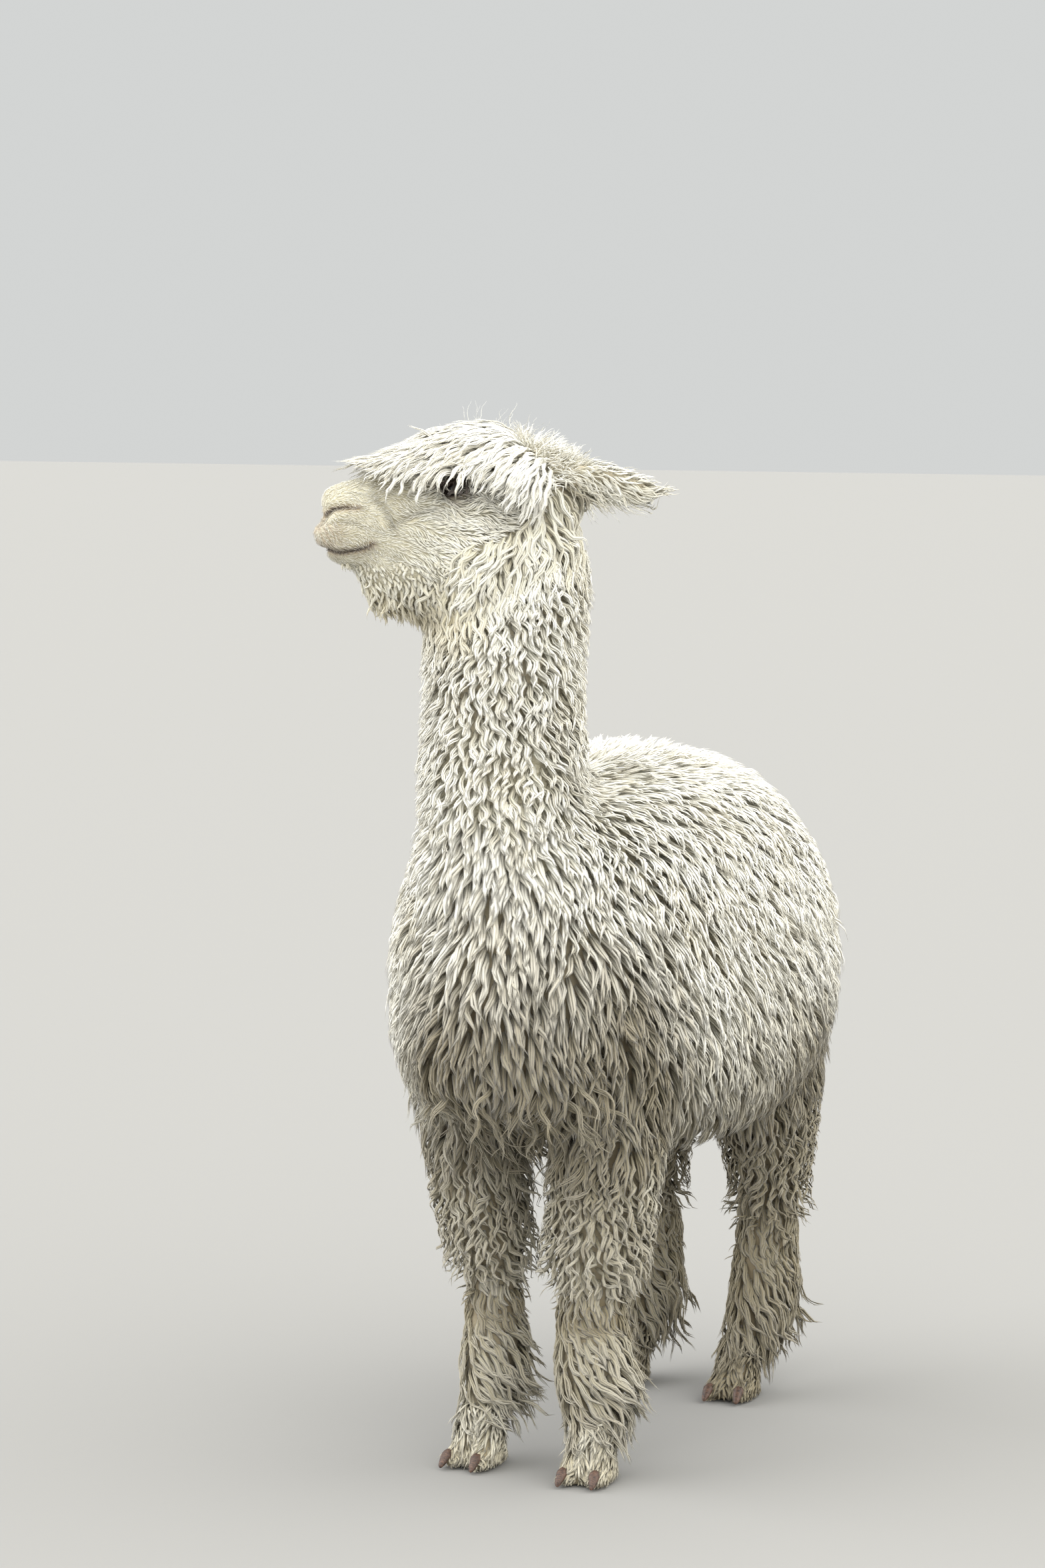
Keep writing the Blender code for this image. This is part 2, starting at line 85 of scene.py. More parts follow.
def middle(node):
    low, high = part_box(node)
    return (low + high) / 2


head_left = (middle("eye_left") - middle("eye_right")).normalized()
head_ahead = head_left.cross(Z)
head_origin = (middle("eye_left") + middle("eye_right")) / 2 - head_ahead * EYE_AHEAD
eye_left_of_middle = (middle("eye_left") - middle("eye_right")).length / 2
eye_radius = (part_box("eye_left")[1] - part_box("eye_left")[0]).z / 2
HEAD_AXES = np.array([head_ahead, head_left, Z])
HEAD_PLACE = Matrix.Translation(head_origin) @ Matrix((head_ahead, head_left, Z)).transposed().to_4x4()
print("eye radius", round(eye_radius, 4), "half gap", round(eye_left_of_middle, 4))


def in_head(points):
    """World points as (ahead, left, up)."""
    return (points - np.array(head_origin)) @ HEAD_AXES.T


def from_head(places):
    """(ahead, left, up) as world points."""
    return np.asarray(places, float) @ HEAD_AXES + np.array(head_origin)


# %% [markdown]
# ## Small tools for numbers
#
# A coat is made of so many locks that Python has to treat them all at once, as numpy arrays. These helpers fade
# one value into another, make lengths one, and give a smooth random field. Locks that stand side by side ask
# the field at almost the same place, so they lean the same way, as real wool does.

# %% Number helpers
RIPPLES = 6  # waves that are added up in one random field


def fade(values, start, end):
    """0 at start, 1 at end, and a soft slope between. Start may be the higher of the two."""
    share = np.clip((values - start) / (end - start), 0, 1)
    return share * share * (3 - 2 * share)


def unit(vectors):
    """The same directions, each one long."""
    return vectors / np.maximum(np.linalg.norm(vectors, axis=-1, keepdims=True), 1e-9)


def flat_on(vectors, outs):
    """What is left of the vectors once they are pressed flat on the surface."""
    return vectors - outs * np.sum(vectors * outs, axis=-1, keepdims=True)


def field(points, size, seed):
    """A smooth random field of about -1 to 1, whose bumps are size across."""
    rng = np.random.default_rng(seed)
    total = np.zeros(len(points))
    for _ in range(RIPPLES):
        direction = unit(rng.normal(size=3)) * (2 * math.pi / size) * rng.uniform(0.5, 1.3)
        total += np.sin(points @ direction + rng.uniform(0, 2 * math.pi))
    return total / math.sqrt(RIPPLES)


# %% [markdown]
# ## Tools for hand modelling
#
# An operator acts on whatever is selected, and loading the frame leaves all its nodes selected. So one helper
# picks a single object and makes it active, and another adds a modifier and applies it at once. The rest read
# and write the numbers that a mesh keeps for its points.

# %% Picking and modifying
def pick(obj, *others):
    bpy.ops.object.select_all(action="DESELECT")
    for one in (obj, *others):
        one.select_set(True)
    bpy.context.view_layer.objects.active = obj


def apply_modifier(obj, kind, **settings):
    pick(obj)
    modifier = obj.modifiers.new(kind.title(), kind)
    for name, value in settings.items():
        setattr(modifier, name, value)
    bpy.ops.object.modifier_apply(modifier=modifier.name)


def smooth(obj, rounds):
    """Evens out a net, a little more in each round."""
    apply_modifier(obj, "SMOOTH", factor=0.5, iterations=rounds)


def edit(obj, mode="VERT"):
    """Into edit mode, with all of the mesh selected."""
    pick(obj)
    bpy.ops.object.mode_set(mode="EDIT")
    bpy.ops.mesh.select_mode(type=mode)
    bpy.ops.mesh.select_all(action="SELECT")


def leave_edit():
    bpy.ops.object.mode_set(mode="OBJECT")


# %% Reading and writing points
def numbers(items, name, width, kind=float):
    """One property of a mesh's points, edges, faces or corners: a row for each, width numbers long."""
    values = np.empty(len(items) * width, np.float32 if kind is float else kind)
    items.foreach_get(name, values)
    return values.reshape(-1, width).astype(kind)


def vertex_places(obj):
    return numbers(obj.data.vertices, "co", 3)


def vertex_outs(obj):
    return numbers(obj.data.vertex_normals, "vector", 3)


def set_places(obj, places):
    obj.data.vertices.foreach_set("co", places.ravel())
    obj.data.update()


def keep_on_points(obj, name, values):
    """Stores one number for each point of the mesh; a subdivision carries such numbers along."""
    if name not in obj.data.attributes:
        obj.data.attributes.new(name, "FLOAT", "POINT")
    obj.data.attributes[name].data.foreach_set("value", values.astype(np.float32))


# %% [markdown]
# ## The skin, first as one lump
#
# Under its wool an animal is one piece, with no seam at the neck or the knee. So the solids of flesh are copied,
# joined and remeshed: the Remesh modifier wraps one even net of small squares round all of them and drops the
# walls between. The forelock is not flesh, so it stays out. The crown of the head that it hides is modelled
# here, as rings across the head that are bridged into a closed form.

# %% The crown under the forelock
CROWN_SIDES = 24
CROWN_RINGS = [  # (ahead, top, bottom, half width), in mm, from the nose to the nape
    (204, 8, -40, 24),
    (178, 14, -50, 34),
    (150, 22, -60, 42),
    (118, 35, -70, 51),
    (82, 49, -80, 57.5),
    (45, 58, -90, 61),
    (5, 61, -90, 64),
    (-40, 50, -90, 62),
    (-74, 28, -80, 50),
]


def model_crown():
    """The first circle only opens an object to work in. It is emptied before the rings are added to it."""
    bpy.ops.object.select_all(action="DESELECT")
    bpy.ops.mesh.primitive_circle_add(vertices=CROWN_SIDES, radius=1 * MM)
    crown = bpy.context.object
    edit(crown)
    bpy.ops.mesh.delete(type="VERT")
    for ahead, top, bottom, half_width in CROWN_RINGS:
        centre = (ahead * MM, 0, (top + bottom) / 2 * MM)
        bpy.ops.mesh.primitive_circle_add(
            vertices=CROWN_SIDES, radius=1 * MM, location=centre, rotation=(0, math.pi / 2, 0)
        )
        bpy.ops.transform.resize(value=(1, half_width, (top - bottom) / 2), center_override=centre)
    bpy.ops.mesh.select_all(action="SELECT")
    bpy.ops.mesh.bridge_edge_loops()
    bpy.ops.mesh.select_all(action="SELECT")
    bpy.ops.mesh.fill_holes(sides=0)
    bpy.ops.mesh.normals_make_consistent(inside=False)
    leave_edit()
    crown.data.transform(HEAD_PLACE)
    return crown


crown = model_crown()
print("crown:", len(crown.data.polygons), "faces")

# %% All the flesh in one net
NET = 8 * MM  # side of the net's squares
SAME_POINT = 1e-5  # points closer than this are merged
FLESH = [n for n in frame["nodes"] if not n.startswith(("eye", "toenail", "topknot"))]
HARD = [n for n in frame["nodes"] if n.startswith(("eye", "toenail"))]


def copy_of(node):
    """A node's shape as a new object, with its loose triangles merged."""
    obj = bpy.data.objects.new(node + "_copy", frame["nodes"][node].data.copy())
    bpy.context.scene.collection.objects.link(obj)
    obj.data.materials.clear()
    edit(obj)
    bpy.ops.mesh.remove_doubles(threshold=SAME_POINT)
    leave_edit()
    return obj


def keep_one_piece(obj):
    """Deletes any stray bubble that the net made beside the main piece."""
    edit(obj)
    bpy.ops.mesh.select_all(action="DESELECT")
    leave_edit()
    max(obj.data.vertices, key=lambda vertex: vertex.co.z).select = True
    bpy.ops.object.mode_set(mode="EDIT")
    bpy.ops.mesh.select_linked()
    bpy.ops.mesh.select_all(action="INVERT")
    bpy.ops.mesh.delete(type="VERT")
    leave_edit()


def model_skin():
    pick(crown, *[copy_of(node) for node in FLESH + HARD])
    bpy.ops.object.join()
    crown.name = crown.data.name = "skin"
    apply_modifier(crown, "REMESH", mode="VOXEL", voxel_size=NET, use_smooth_shade=True)
    keep_one_piece(crown)
    smooth(crown, 8)
    return crown


skin = model_skin()
print("net:", len(skin.data.polygons), "squares")

# %% [markdown]
# ## Under the wool
#
# The net now lies on the coat's outer surface. It is drawn in along its own directions by the depth of the
# wool, which is a hand's breadth on the flank and almost nothing on the nose. Each point takes the depth of the
# part of the body that it lies nearest, and the depths are then spread along the net, so that no step shows
# where one part ends.

# %% Which part of the body is near
DEPTH_MM = {  # depth of the coat on each family of parts
    "trunk": 30, "neck": 22, "head": 2, "lower_jaw": 2, "ear": 6, "eye": 0, "tail": 15, "forearm": 17,
    "fore_cannon": 15, "thigh": 18, "hind_cannon": 15, "fore_foot": 4, "hind_foot": 4, "toenail": 4,
}


def nearest_part(points):
    """The name of the solid that each point lies nearest."""
    corners, faces, owners = [], [], []
    for name in FLESH + HARD:
        mesh = frame["nodes"][name].data
        faces += [[v + len(corners) for v in face.vertices] for face in mesh.polygons]
        corners += [v.co.copy() for v in mesh.vertices]
        owners += [name] * len(mesh.polygons)
    tree = BVHTree.FromPolygons(corners, faces)
    return np.array([owners[tree.find_nearest(p)[2]] for p in points.tolist()])


def part_family(name):
    return next(family for family in sorted(DEPTH_MM, key=len, reverse=True) if name.startswith(family))


# %% Depth of the coat
CHEEK_DEPTH, BEARD_DEPTH, CROWN_DEPTH = 13 * MM, 7 * MM, 1 * MM
CHEEK_FROM, CHEEK_FULL = 72 * MM, 30 * MM  # ahead of the neck's axis
TOP_WOOL, SIDE_WOOL = 29 * MM, 13 * MM  # the forelock's depth
SOLE_HEIGHT = 8 * MM


def spread_along(obj, values, rounds):
    """Each point takes the mean of its neighbours and itself, again and again."""
    one, other = numbers(obj.data.edges, "vertices", 2, np.int32).T
    count = len(values)
    degree = 1 + np.bincount(one, minlength=count) + np.bincount(other, minlength=count)
    for _ in range(rounds):
        total = values + np.bincount(one, values[other], count) + np.bincount(other, values[one], count)
        values = total / degree
    return values


def coat_depth(obj):
    places = vertex_places(obj)
    parts = nearest_part(places)
    depth = np.array([DEPTH_MM[part_family(part)] * MM for part in parts])
    ahead, left, up = in_head(places).T
    on_head = np.isin(parts, ["head", "lower_jaw"])
    cheek = fade(ahead, CHEEK_FROM, CHEEK_FULL) * fade(up, -10 * MM, -40 * MM)
    beard = fade(up, -112 * MM, -135 * MM) * (1 - cheek)
    depth[on_head] = (depth + cheek * (CHEEK_DEPTH - depth) + beard * (BEARD_DEPTH - depth))[on_head]
    depth = spread_along(obj, depth, rounds=14)
    depth[on_head & (up > -5 * MM)] = CROWN_DEPTH
    return spread_along(obj, depth, rounds=4)


def draw_in(obj, depth):
    """The soles keep their height, so that the animal still stands on the floor."""
    places, outs = vertex_places(obj), vertex_outs(obj)
    moved = places - outs * depth[:, None]
    sole = places[:, 2] < SOLE_HEIGHT
    moved[sole, 2] = places[sole, 2]
    set_places(obj, moved)
    smooth(obj, 3)


def wool_depth(obj, depth):
    """The same as the depth, but on the crown the forelock's wool, which stands above the solids of flesh."""
    places, outs = in_head(vertex_places(obj)), vertex_outs(obj)
    ahead, left, up = places.T
    top = fade(outs[:, 2], 0.15, 0.9)
    forelock = (SIDE_WOOL + (TOP_WOOL - SIDE_WOOL) * top) * fade(ahead, 190 * MM, 120 * MM)
    is_crown = (up > 2 * MM) & (ahead > -85 * MM) & (ahead < 200 * MM)
    return spread_along(obj, np.where(is_crown, forelock, depth), rounds=4)


skin_depth = coat_depth(skin)
draw_in(skin, skin_depth)
keep_on_points(skin, "coat_depth", wool_depth(skin, skin_depth))
print("coat depth in mm:", (skin_depth.min() * 1000).round(1), "to", (skin_depth.max() * 1000).round(1))

# %% [markdown]
# ## An unwrap for the skin, and a finer net on the face
#
# Smart UV Project lays the skin out flat in islands. The map is called OFBake, and every lock will later take
# its place on the same map from the spot where it is rooted. The face is then subdivided, twice at the muzzle
# and the eyes, because folds of a few millimetres need a net of one or two.

# %% Unwrap and refine
ISLAND_ANGLE, ISLAND_GAP = math.radians(66), 0.001
FACE_FROM, MUZZLE_FROM = 40 * MM, 58 * MM  # ahead of the neck's axis
CHIN, BROW = -190 * MM, 80 * MM  # lowest and highest place on the face, from the eyes
EYE_SURROUND = 1.55  # times the eye's radius


def refine(obj, wanted):
    """Subdivides the faces whose middles, as places on the head, are wanted."""
    chosen = wanted(in_head(numbers(obj.data.polygons, "center", 3)))
    edit(obj, "FACE")
    bpy.ops.mesh.select_all(action="DESELECT")
    leave_edit()
    obj.data.polygons.foreach_set("select", chosen)
    bpy.ops.object.mode_set(mode="EDIT")
    bpy.ops.mesh.subdivide(number_cuts=1, smoothness=0)
    leave_edit()


def before(start):
    return lambda places: (places[:, 0] > start) & (places[:, 2] > CHIN) & (places[:, 2] < BROW)


def near_an_eye(places):
    side = np.sign(places[:, 1:2]) * eye_left_of_middle
    gap = places - np.hstack([np.full_like(side, EYE_AHEAD), side, np.zeros_like(side)])
    return np.linalg.norm(gap, axis=1) < eye_radius * EYE_SURROUND


skin.data.uv_layers.new(name="OFBake")
edit(skin, "FACE")
bpy.ops.uv.smart_project(angle_limit=ISLAND_ANGLE, island_margin=ISLAND_GAP)
leave_edit()
refine(skin, before(FACE_FROM))
smooth(skin, 2)
refine(skin, before(MUZZLE_FROM))
refine(skin, near_an_eye)
print("skin:", len(skin.data.polygons), "faces")

# %% [markdown]
# ## Sculpting the face
#
# Now the folds that the remesh is too coarse to hold. A sculptor would draw them with a crease brush and a clay
# brush. Here a stroke is a short line through a few points, written (ahead, up) on the side of the head in
# millimetres, and it is drawn on both sides at once. Points near the stroke move in or out along their own
# direction, most on the line and less beside it.

# %% Strokes
FAR = 9.0  # further than any stroke
EDGE = 3  # mm over which a stroke ends to the side
TAPER_ENDS = 0.25  # share of its length over which a stroke fades in, and out again


def gap_to_line(flat, line):
    """How far each (ahead, up) point lies from a line through a few points, and how far along it, as a share."""
    line = np.array(line, float) * MM
    lengths = np.linalg.norm(np.diff(line, axis=0), axis=1)
    passed, total = 0.0, lengths.sum()
    nearest, share = np.full(len(flat), FAR), np.zeros(len(flat))
    for start, end, length in zip(line[:-1], line[1:], lengths):
        along = np.clip((flat - start) @ (end - start) / length**2, 0, 1)
        gap = np.linalg.norm(flat - start - along[:, None] * (end - start), axis=1)
        closer = gap < nearest
        nearest[closer] = gap[closer]
        share[closer] = (passed + along[closer] * length) / total
        passed += length
    return nearest, share


def stroke(places, line, width, height, side_from, side_to):
    """How far out (or in, if height is below zero) a stroke moves each point. All sizes are in mm."""
    gap, share = gap_to_line(places[:, [0, 2]], line)
    aside = np.abs(places[:, 1])
    amount = np.exp(-((gap / (width * MM)) ** 2))
    amount *= fade(share, -0.01, TAPER_ENDS) * fade(1 - share, -0.01, TAPER_ENDS)
    amount *= fade(aside, (side_from - EDGE) * MM, (side_from + EDGE) * MM) if side_from else 1
    amount *= fade(aside, (side_to + EDGE) * MM, (side_to - EDGE) * MM)
    return amount * height * MM


STROKES = {  # name: (its line, width, height, from and to this far aside)
    "mouth": ([(244, -70), (229, -76), (216, -80), (198, -78), (184, -74), (175, -69)], 2.4, -4.8, 0, 60),
    "upper lip edge": ([(248, -64), (228, -69), (214, -73), (198, -71), (186, -67)], 3.4, 2.2, 3, 60),
    "lower lip": ([(228, -84), (212, -88), (196, -86)], 4.0, 1.6, 0, 60),
    "chin hollow": ([(205, -99), (190, -100), (176, -96)], 6.0, -2.6, 8, 60),
    "nostril": ([(244, -52), (233, -39), (228, -32.5), (222, -26.5), (209, -24), (193, -24)], 2.6, -6.0, 4, 60),
    "nostril's upper rim": ([(236, -26), (222, -16), (207, -14.5), (190, -16)], 5.0, 1.8, 8, 60),
    "nostril's wing": ([(222, -35), (212, -32), (202, -31), (190, -33)], 4.0, 1.3, 10, 60),
    "lip crease": ([(240, -48), (226, -43), (210, -42), (192, -45)], 2.4, -1.6, 6, 60),
    "muzzle fold": ([(176, -8), (160, -26), (152, -38), (148, -58)], 5.2, -3.6, 20, 90),
    "pad before it": ([(178, -20), (167, -38), (162, -56)], 6.0, 3.0, 20, 90),
    "fold under the eye": ([(154, -46), (134, -37), (118, -30), (92, -25)], 4.6, -3.8, 30, 90),
    "cheek bone": ([(140, -21), (116, -16), (96, -15)], 6.5, 3.0, 30, 90),
    "cheek line": ([(172, -76), (150, -88), (128, -92)], 8.0, -3.0, 20, 90),
}

# %% Lips, and the whole face at once
WRINKLE_GAP, WRINKLE_HEIGHT = 5.2, 0.55  # mm
GROOVE_WIDTH, GROOVE_DEPTH = 2.4, 4.2  # mm


def lip_wrinkles(places):
    """Fine level wrinkles over the side of the upper lip."""
    ahead, left, up = (places / MM).T
    bent = up + 0.22 * (ahead - 215)
    inside = fade(up, -70, -64) * fade(up, -42, -48) * (fade(ahead, 192, 208) * fade(np.abs(left), 4, 9))
    return np.sin(2 * math.pi * bent / WRINKLE_GAP) * inside * WRINKLE_HEIGHT * MM


def split_lip(places):
    """The groove from the nose down through the middle of the upper lip."""
    ahead, left, up = (places / MM).T
    groove = np.exp(-((left / GROOVE_WIDTH) ** 2)) * fade(ahead, 212, 228)
    groove = groove * fade(up, -76, -68) * fade(up, -22, -34)
    return -GROOVE_DEPTH * MM * groove


def sculpt_face(obj):
    world = vertex_places(obj)
    places, outs = in_head(world), vertex_outs(obj)
    face = places[:, 0] > FACE_FROM
    amount = np.zeros(len(places))
    for line, *sizes in STROKES.values():
        amount[face] += stroke(places[face], line, *sizes)
    amount[face] += lip_wrinkles(places[face]) + split_lip(places[face])
    set_places(obj, world + outs * amount[:, None])
    return amount


smooth(skin, 1)
moved = sculpt_face(skin)
print("face strokes in mm:", (moved.min() * 1000).round(1), "to", (moved.max() * 1000).round(1))

# %% [markdown]
# ## Lids round the eyes
#
# A real lid is skin stretched over the eyeball. So every point of skin near the ball is asked in which direction
# it lies, seen from the ball's centre. In the almond-shaped opening the skin sinks behind the ball. Round the
# opening it is set on a slightly larger ball, thickest at the rim, and further out it fades into the head.

# %% The almond-shaped opening
OPENING_HALF_LENGTH, OPENING_HALF_HEIGHT = 0.80, 0.44  # as shares of the ball's radius
LOWER_ARCH = 0.85  # the lower edge is flatter than the upper one
OPENING_TILT = 0.16  # the front corner is lower


def opening_edge(along):
    """Upper and lower edge of the opening, at places along it from the rear corner, -1, to the front one, 1."""
    arch = np.sqrt(np.clip(1 - (along / OPENING_HALF_LENGTH) ** 2, 0, 1))
    middle_line = -OPENING_TILT * along
    return middle_line + OPENING_HALF_HEIGHT * arch, middle_line - LOWER_ARCH * OPENING_HALF_HEIGHT * arch


def from_the_eye(places):
    """Each place as the nearer eye sees it: that eye's centre, the direction there, and the distance."""
    side = np.where(places[:, 1] < 0, -1.0, 1.0)
    centre = np.stack([np.full(len(side), EYE_AHEAD), side * eye_left_of_middle, np.zeros(len(side))], 1)
    reach = np.linalg.norm(places - centre, axis=1)
    return centre, (places - centre) / reach[:, None], reach


def at_the_opening(toward):
    """Whether a direction lies in the opening, and how far it is from the edge."""
    along, up = toward[:, 0], toward[:, 2]
    upper, lower = opening_edge(along)
    inside = (up < upper) & (up > lower) & (np.abs(along) < OPENING_HALF_LENGTH)
    from_edge = np.minimum(np.abs(up - upper), np.abs(up - lower))
    return inside, np.hypot(from_edge, np.clip(np.abs(along) - OPENING_HALF_LENGTH, 0, 1))


# %% Lids
LID_THICKNESS, RIM_EXTRA, RIM_WIDTH = 1.4 * MM, 0.9 * MM, 0.16
BEHIND_THE_BALL = 2.2 * MM
LID_HELD, LID_FREE = 0.35, 0.75  # from the edge: all lid up to here, and none of it from here on


def round_the_eyes(obj):
    places = in_head(vertex_places(obj))
    centre, toward, reach = from_the_eye(places)
    inside, from_edge = at_the_opening(toward)
    near = (toward[:, 1] * np.sign(centre[:, 1]) > 0.12) & (reach < eye_radius * 1.9)
    rim = np.exp(-((from_edge / RIM_WIDTH) ** 2))
    lid = eye_radius + LID_THICKNESS + RIM_EXTRA * rim
    hold = near * fade(from_edge, LID_FREE, LID_HELD)
    target = np.where(inside, eye_radius - BEHIND_THE_BALL, np.maximum(lid, reach * (1 - hold) + lid * hold))
    new_reach = np.where(inside, target, reach + (target - reach) * hold)
    moved = np.where((near & (inside | (hold > 0)))[:, None], centre + toward * new_reach[:, None], places)
    set_places(obj, from_head(moved))
    return inside & near


eye_hole = round_the_eyes(skin)
print("points inside the openings:", int(eye_hole.sum()))

# %% [markdown]
# ## Nodes and colours
#
# Colours are written as the hex values that a paint program shows. Blender's shaders work in linear light, so
# one function converts them. One more adds a node with its settings and its links, and hands back the output
# that is wanted, so that a material can be read from top to bottom.

# %% Colour and node helpers
SHARE, FIRST, SECOND, MIXED = 0, 6, 7, 2  # the Mix node's numbered sockets for colours
MULTIPLY = {"data_type": "RGBA", "blend_type": "MULTIPLY"}  # a Mix node that darkens, as a stain does


def colour(code):
    shares = [int(code[i : i + 2], 16) / 255 for i in (0, 2, 4)]
    return tuple(s / 12.92 if s <= 0.04045 else ((s + 0.055) / 1.055) ** 2.4 for s in shares) + (1.0,)


def add_node(material, kind, output, inputs=(), stops=(), **settings):
    """One node with its settings and links; it hands back one of its outputs. An input is a value or another
    node's output. A colour ramp's stops are (place, hex colour), from the lowest place to the highest."""
    made = material.node_tree.nodes.new("ShaderNode" + kind)
    for name, value in settings.items():
        setattr(made, name, value)
    for number, (place, code) in enumerate(stops):
        elements = made.color_ramp.elements
        element = elements[number] if number < 2 else elements.new(place)
        element.position, element.color = place, colour(code)
    for name, value in dict(inputs).items():
        if isinstance(value, bpy.types.NodeSocket):
            material.node_tree.links.new(value, made.inputs[name])
        else:
            made.inputs[name].default_value = value
    return made.outputs[output]


def new_material(name, roughness, **constants):
    """A Principled material, with what is the same all over set on the shader's own sockets."""
    material = bpy.data.materials.new(name)
    material.use_nodes = True
    shader = material.node_tree.nodes["Principled BSDF"]
    shader.inputs["Roughness"].default_value = roughness
    for socket, value in constants.items():
        shader.inputs[socket.replace("_", " ")].default_value = value
    return material, shader


def link(material, output, socket):
    material.node_tree.links.new(output, socket)


# %% [markdown]
# ## Markings
#
# A cream alpaca is not one colour. The wool is whitest on the back and the forelock; on the back this is partly
# painted light from above, which also lightens the skin between the locks. It is greyer and browner low on the
# body and down the legs, partly dust and partly painted shade under the body, and straw yellow under the jaw and
# on the feet. Painted shade also darkens the folds of the face, the hollow of the ear, the lower breast, the hind
# legs, one side of the neck and a band under the cuff. The nostrils and lips are rose-brown, the rims of the lids
# are nearly black, and the mouth line and the inside of the nostrils are painted nearly black as shade.
# One function says how much of each there is at a place, and both the skin and every lock ask it.

# %% Grey and straw wool
EAR_HOLLOW = np.array([-62, 58, 2]) * MM
FORWARDS_AND_UP = [1, 0, 1]  # leaves out how far a place is to the side


def line_mark(places, name, core, soft):
    """1 within core of a stroke of the face, 0 beyond soft of it, in mm."""
    gap, _ = gap_to_line(places[:, [0, 2]], STROKES[name][0])
    return fade(gap, soft * MM, core * MM)


def on_the_head(points):
    return fade(points[:, 2], 1.08, 1.14)


def on_the_face(points):
    return on_the_head(points) * fade(in_head(points)[:, 0], 0.05, 0.09)


def dust_and_painted_shade(points):
    """Dust, and painted shade, from the folds of the face down to the legs."""
    places = in_head(points)
    x, y, height = points.T
    # Painted shade in the folds of the face and under the mouth.
    folds = 0.32 * line_mark(places, "fold under the eye", 0, 10) + 0.25 * line_mark(places, "muzzle fold", 0, 9)
    folds = folds + 0.3 * line_mark(places, "lip crease", 0, 5) + 0.35 * line_mark(places, "mouth", 3, 13)
    # Painted shade in the hollow of the ear.
    from_hollow = np.linalg.norm(places * FORWARDS_AND_UP - EAR_HOLLOW * FORWARDS_AND_UP, axis=1)
    hollow = on_the_head(points) * fade(from_hollow, 16 * MM, 6 * MM)
    # Darker low on the body and down the legs: partly dust, partly painted shade under the body.
    low = fade(height, 0.69, 0.45)
    grey = 0.04 + 0.76 * low + 0.08 * field(points, 120 * MM, 81) + on_the_face(points) * folds
    grey = grey + 0.8 * hollow * fade(np.abs(places[:, 1]), 0.04, 0.06)
    # Painted shade on the hind legs, which stand in the body's shade; the feet are made paler.
    grey = grey + 0.60 * low * fade(y, 0.0, 0.2) - 0.34 * fade(height, 0.12, 0.05)  # the hind legs, and the feet
    # Painted shade, with some dirt, low on the breast, on the side away from the light from the left.
    breast = fade(y, -0.17, -0.30) * fade(height, 0.84, 0.62) * fade(height, 0.40, 0.46)
    grey = grey + 0.75 * breast * fade(x, -0.13, -0.03)
    # Painted shade on the side of the neck away from the light, and a painted shadow under the cuff of the legs.
    neck = fade(height, 1.15, 1.0) * fade(height, 0.85, 1.0)
    under_cuff = fade(height, 0.196, 0.214) * fade(height, 0.244, 0.228)
    return grey + 0.15 * neck * fade(x, -0.05, 0.03) + 0.45 * under_cuff


def straw_wool(points):
    """The stain of fodder under the jaw, and of grass on the feet."""
    ahead, left, up = in_head(points).T
    jaw = on_the_head(points) * fade(up, -112 * MM, -150 * MM) * fade(ahead, 20 * MM, 70 * MM)
    return 0.45 * jaw + 0.35 * fade(points[:, 2], 0.08, 0.02) + 0.15 * fade(field(points, 90 * MM, 82), 0.2, 1.2)


# %% Rose and dark skin
CREASE_GAP = 5.5 * MM


def near_the_lid(points):
    """Whether each point is on a lid, and how far it is from the edge of the opening."""
    centre, toward, reach = from_the_eye(in_head(points))
    at_lid = on_the_head(points) * (reach < eye_radius * 1.25) * (toward[:, 1] * np.sign(centre[:, 1]) > 0.1)
    return at_lid, at_the_opening(toward)[1]


def rose_skin(points):
    """Bare, warm skin round the nostrils and mouth, and in creases over the front of the lip."""
    places = in_head(points)
    ahead, left, up = places.T
    at_lid, from_edge = near_the_lid(points)
    bent = 1.5 * field(points, 14 * MM, 83)
    creased = 0.5 + 0.5 * np.sin((ahead * 0.9 - up * 0.35) * 2 * math.pi / CREASE_GAP + bent)
    lip_front = fade(ahead, 0.196, 0.226) * fade(up, -40 * MM, -48 * MM) * fade(up, -78 * MM, -70 * MM)
    lip_front = lip_front * (0.06 + 0.50 * creased * fade(ahead, 0.250, 0.238))
    rose = np.maximum(line_mark(places, "nostril", 1, 7) * 0.6, line_mark(places, "mouth", 1, 7) * 0.5)
    return np.maximum(rose, lip_front) * on_the_face(points) + 0.3 * at_lid * fade(from_edge, 0.6, 0.3)


def dark_rims_and_painted_shade(points):
    """Painted shade inside the nostrils and along the mouth, and the dark rims of the lids."""
    places = in_head(points)
    ahead, left, up = places.T
    # Painted shade in the nostril slits, darkest towards the front.
    nostril = line_mark(places, "nostril", 0.8, 3.6) * fade(np.abs(left), 2 * MM, 6 * MM)
    nostril = nostril * (0.45 + 0.55 * fade(ahead, 0.200, 0.224))
    # Painted shade along the mouth line.
    mouth = 0.85 * line_mark(places, "mouth", 0.4, 3.4)
    at_lid, from_edge = near_the_lid(points)
    return np.maximum(np.maximum(mouth, nostril) * on_the_face(points), at_lid * fade(from_edge, 0.42, 0.16))


MARKINGS = {"grey": dust_and_painted_shade, "straw": straw_wool, "rose": rose_skin, "dark": dark_rims_and_painted_shade}


def markings(points):
    """How much of each marking there is at each point, from 0 to 1."""
    return {mark: np.clip(amount(points), 0, 1) for mark, amount in MARKINGS.items()}


for mark, amounts in markings(vertex_places(skin)).items():
    keep_on_points(skin, mark, amounts)
    print(mark, "up to", amounts.max().round(2))
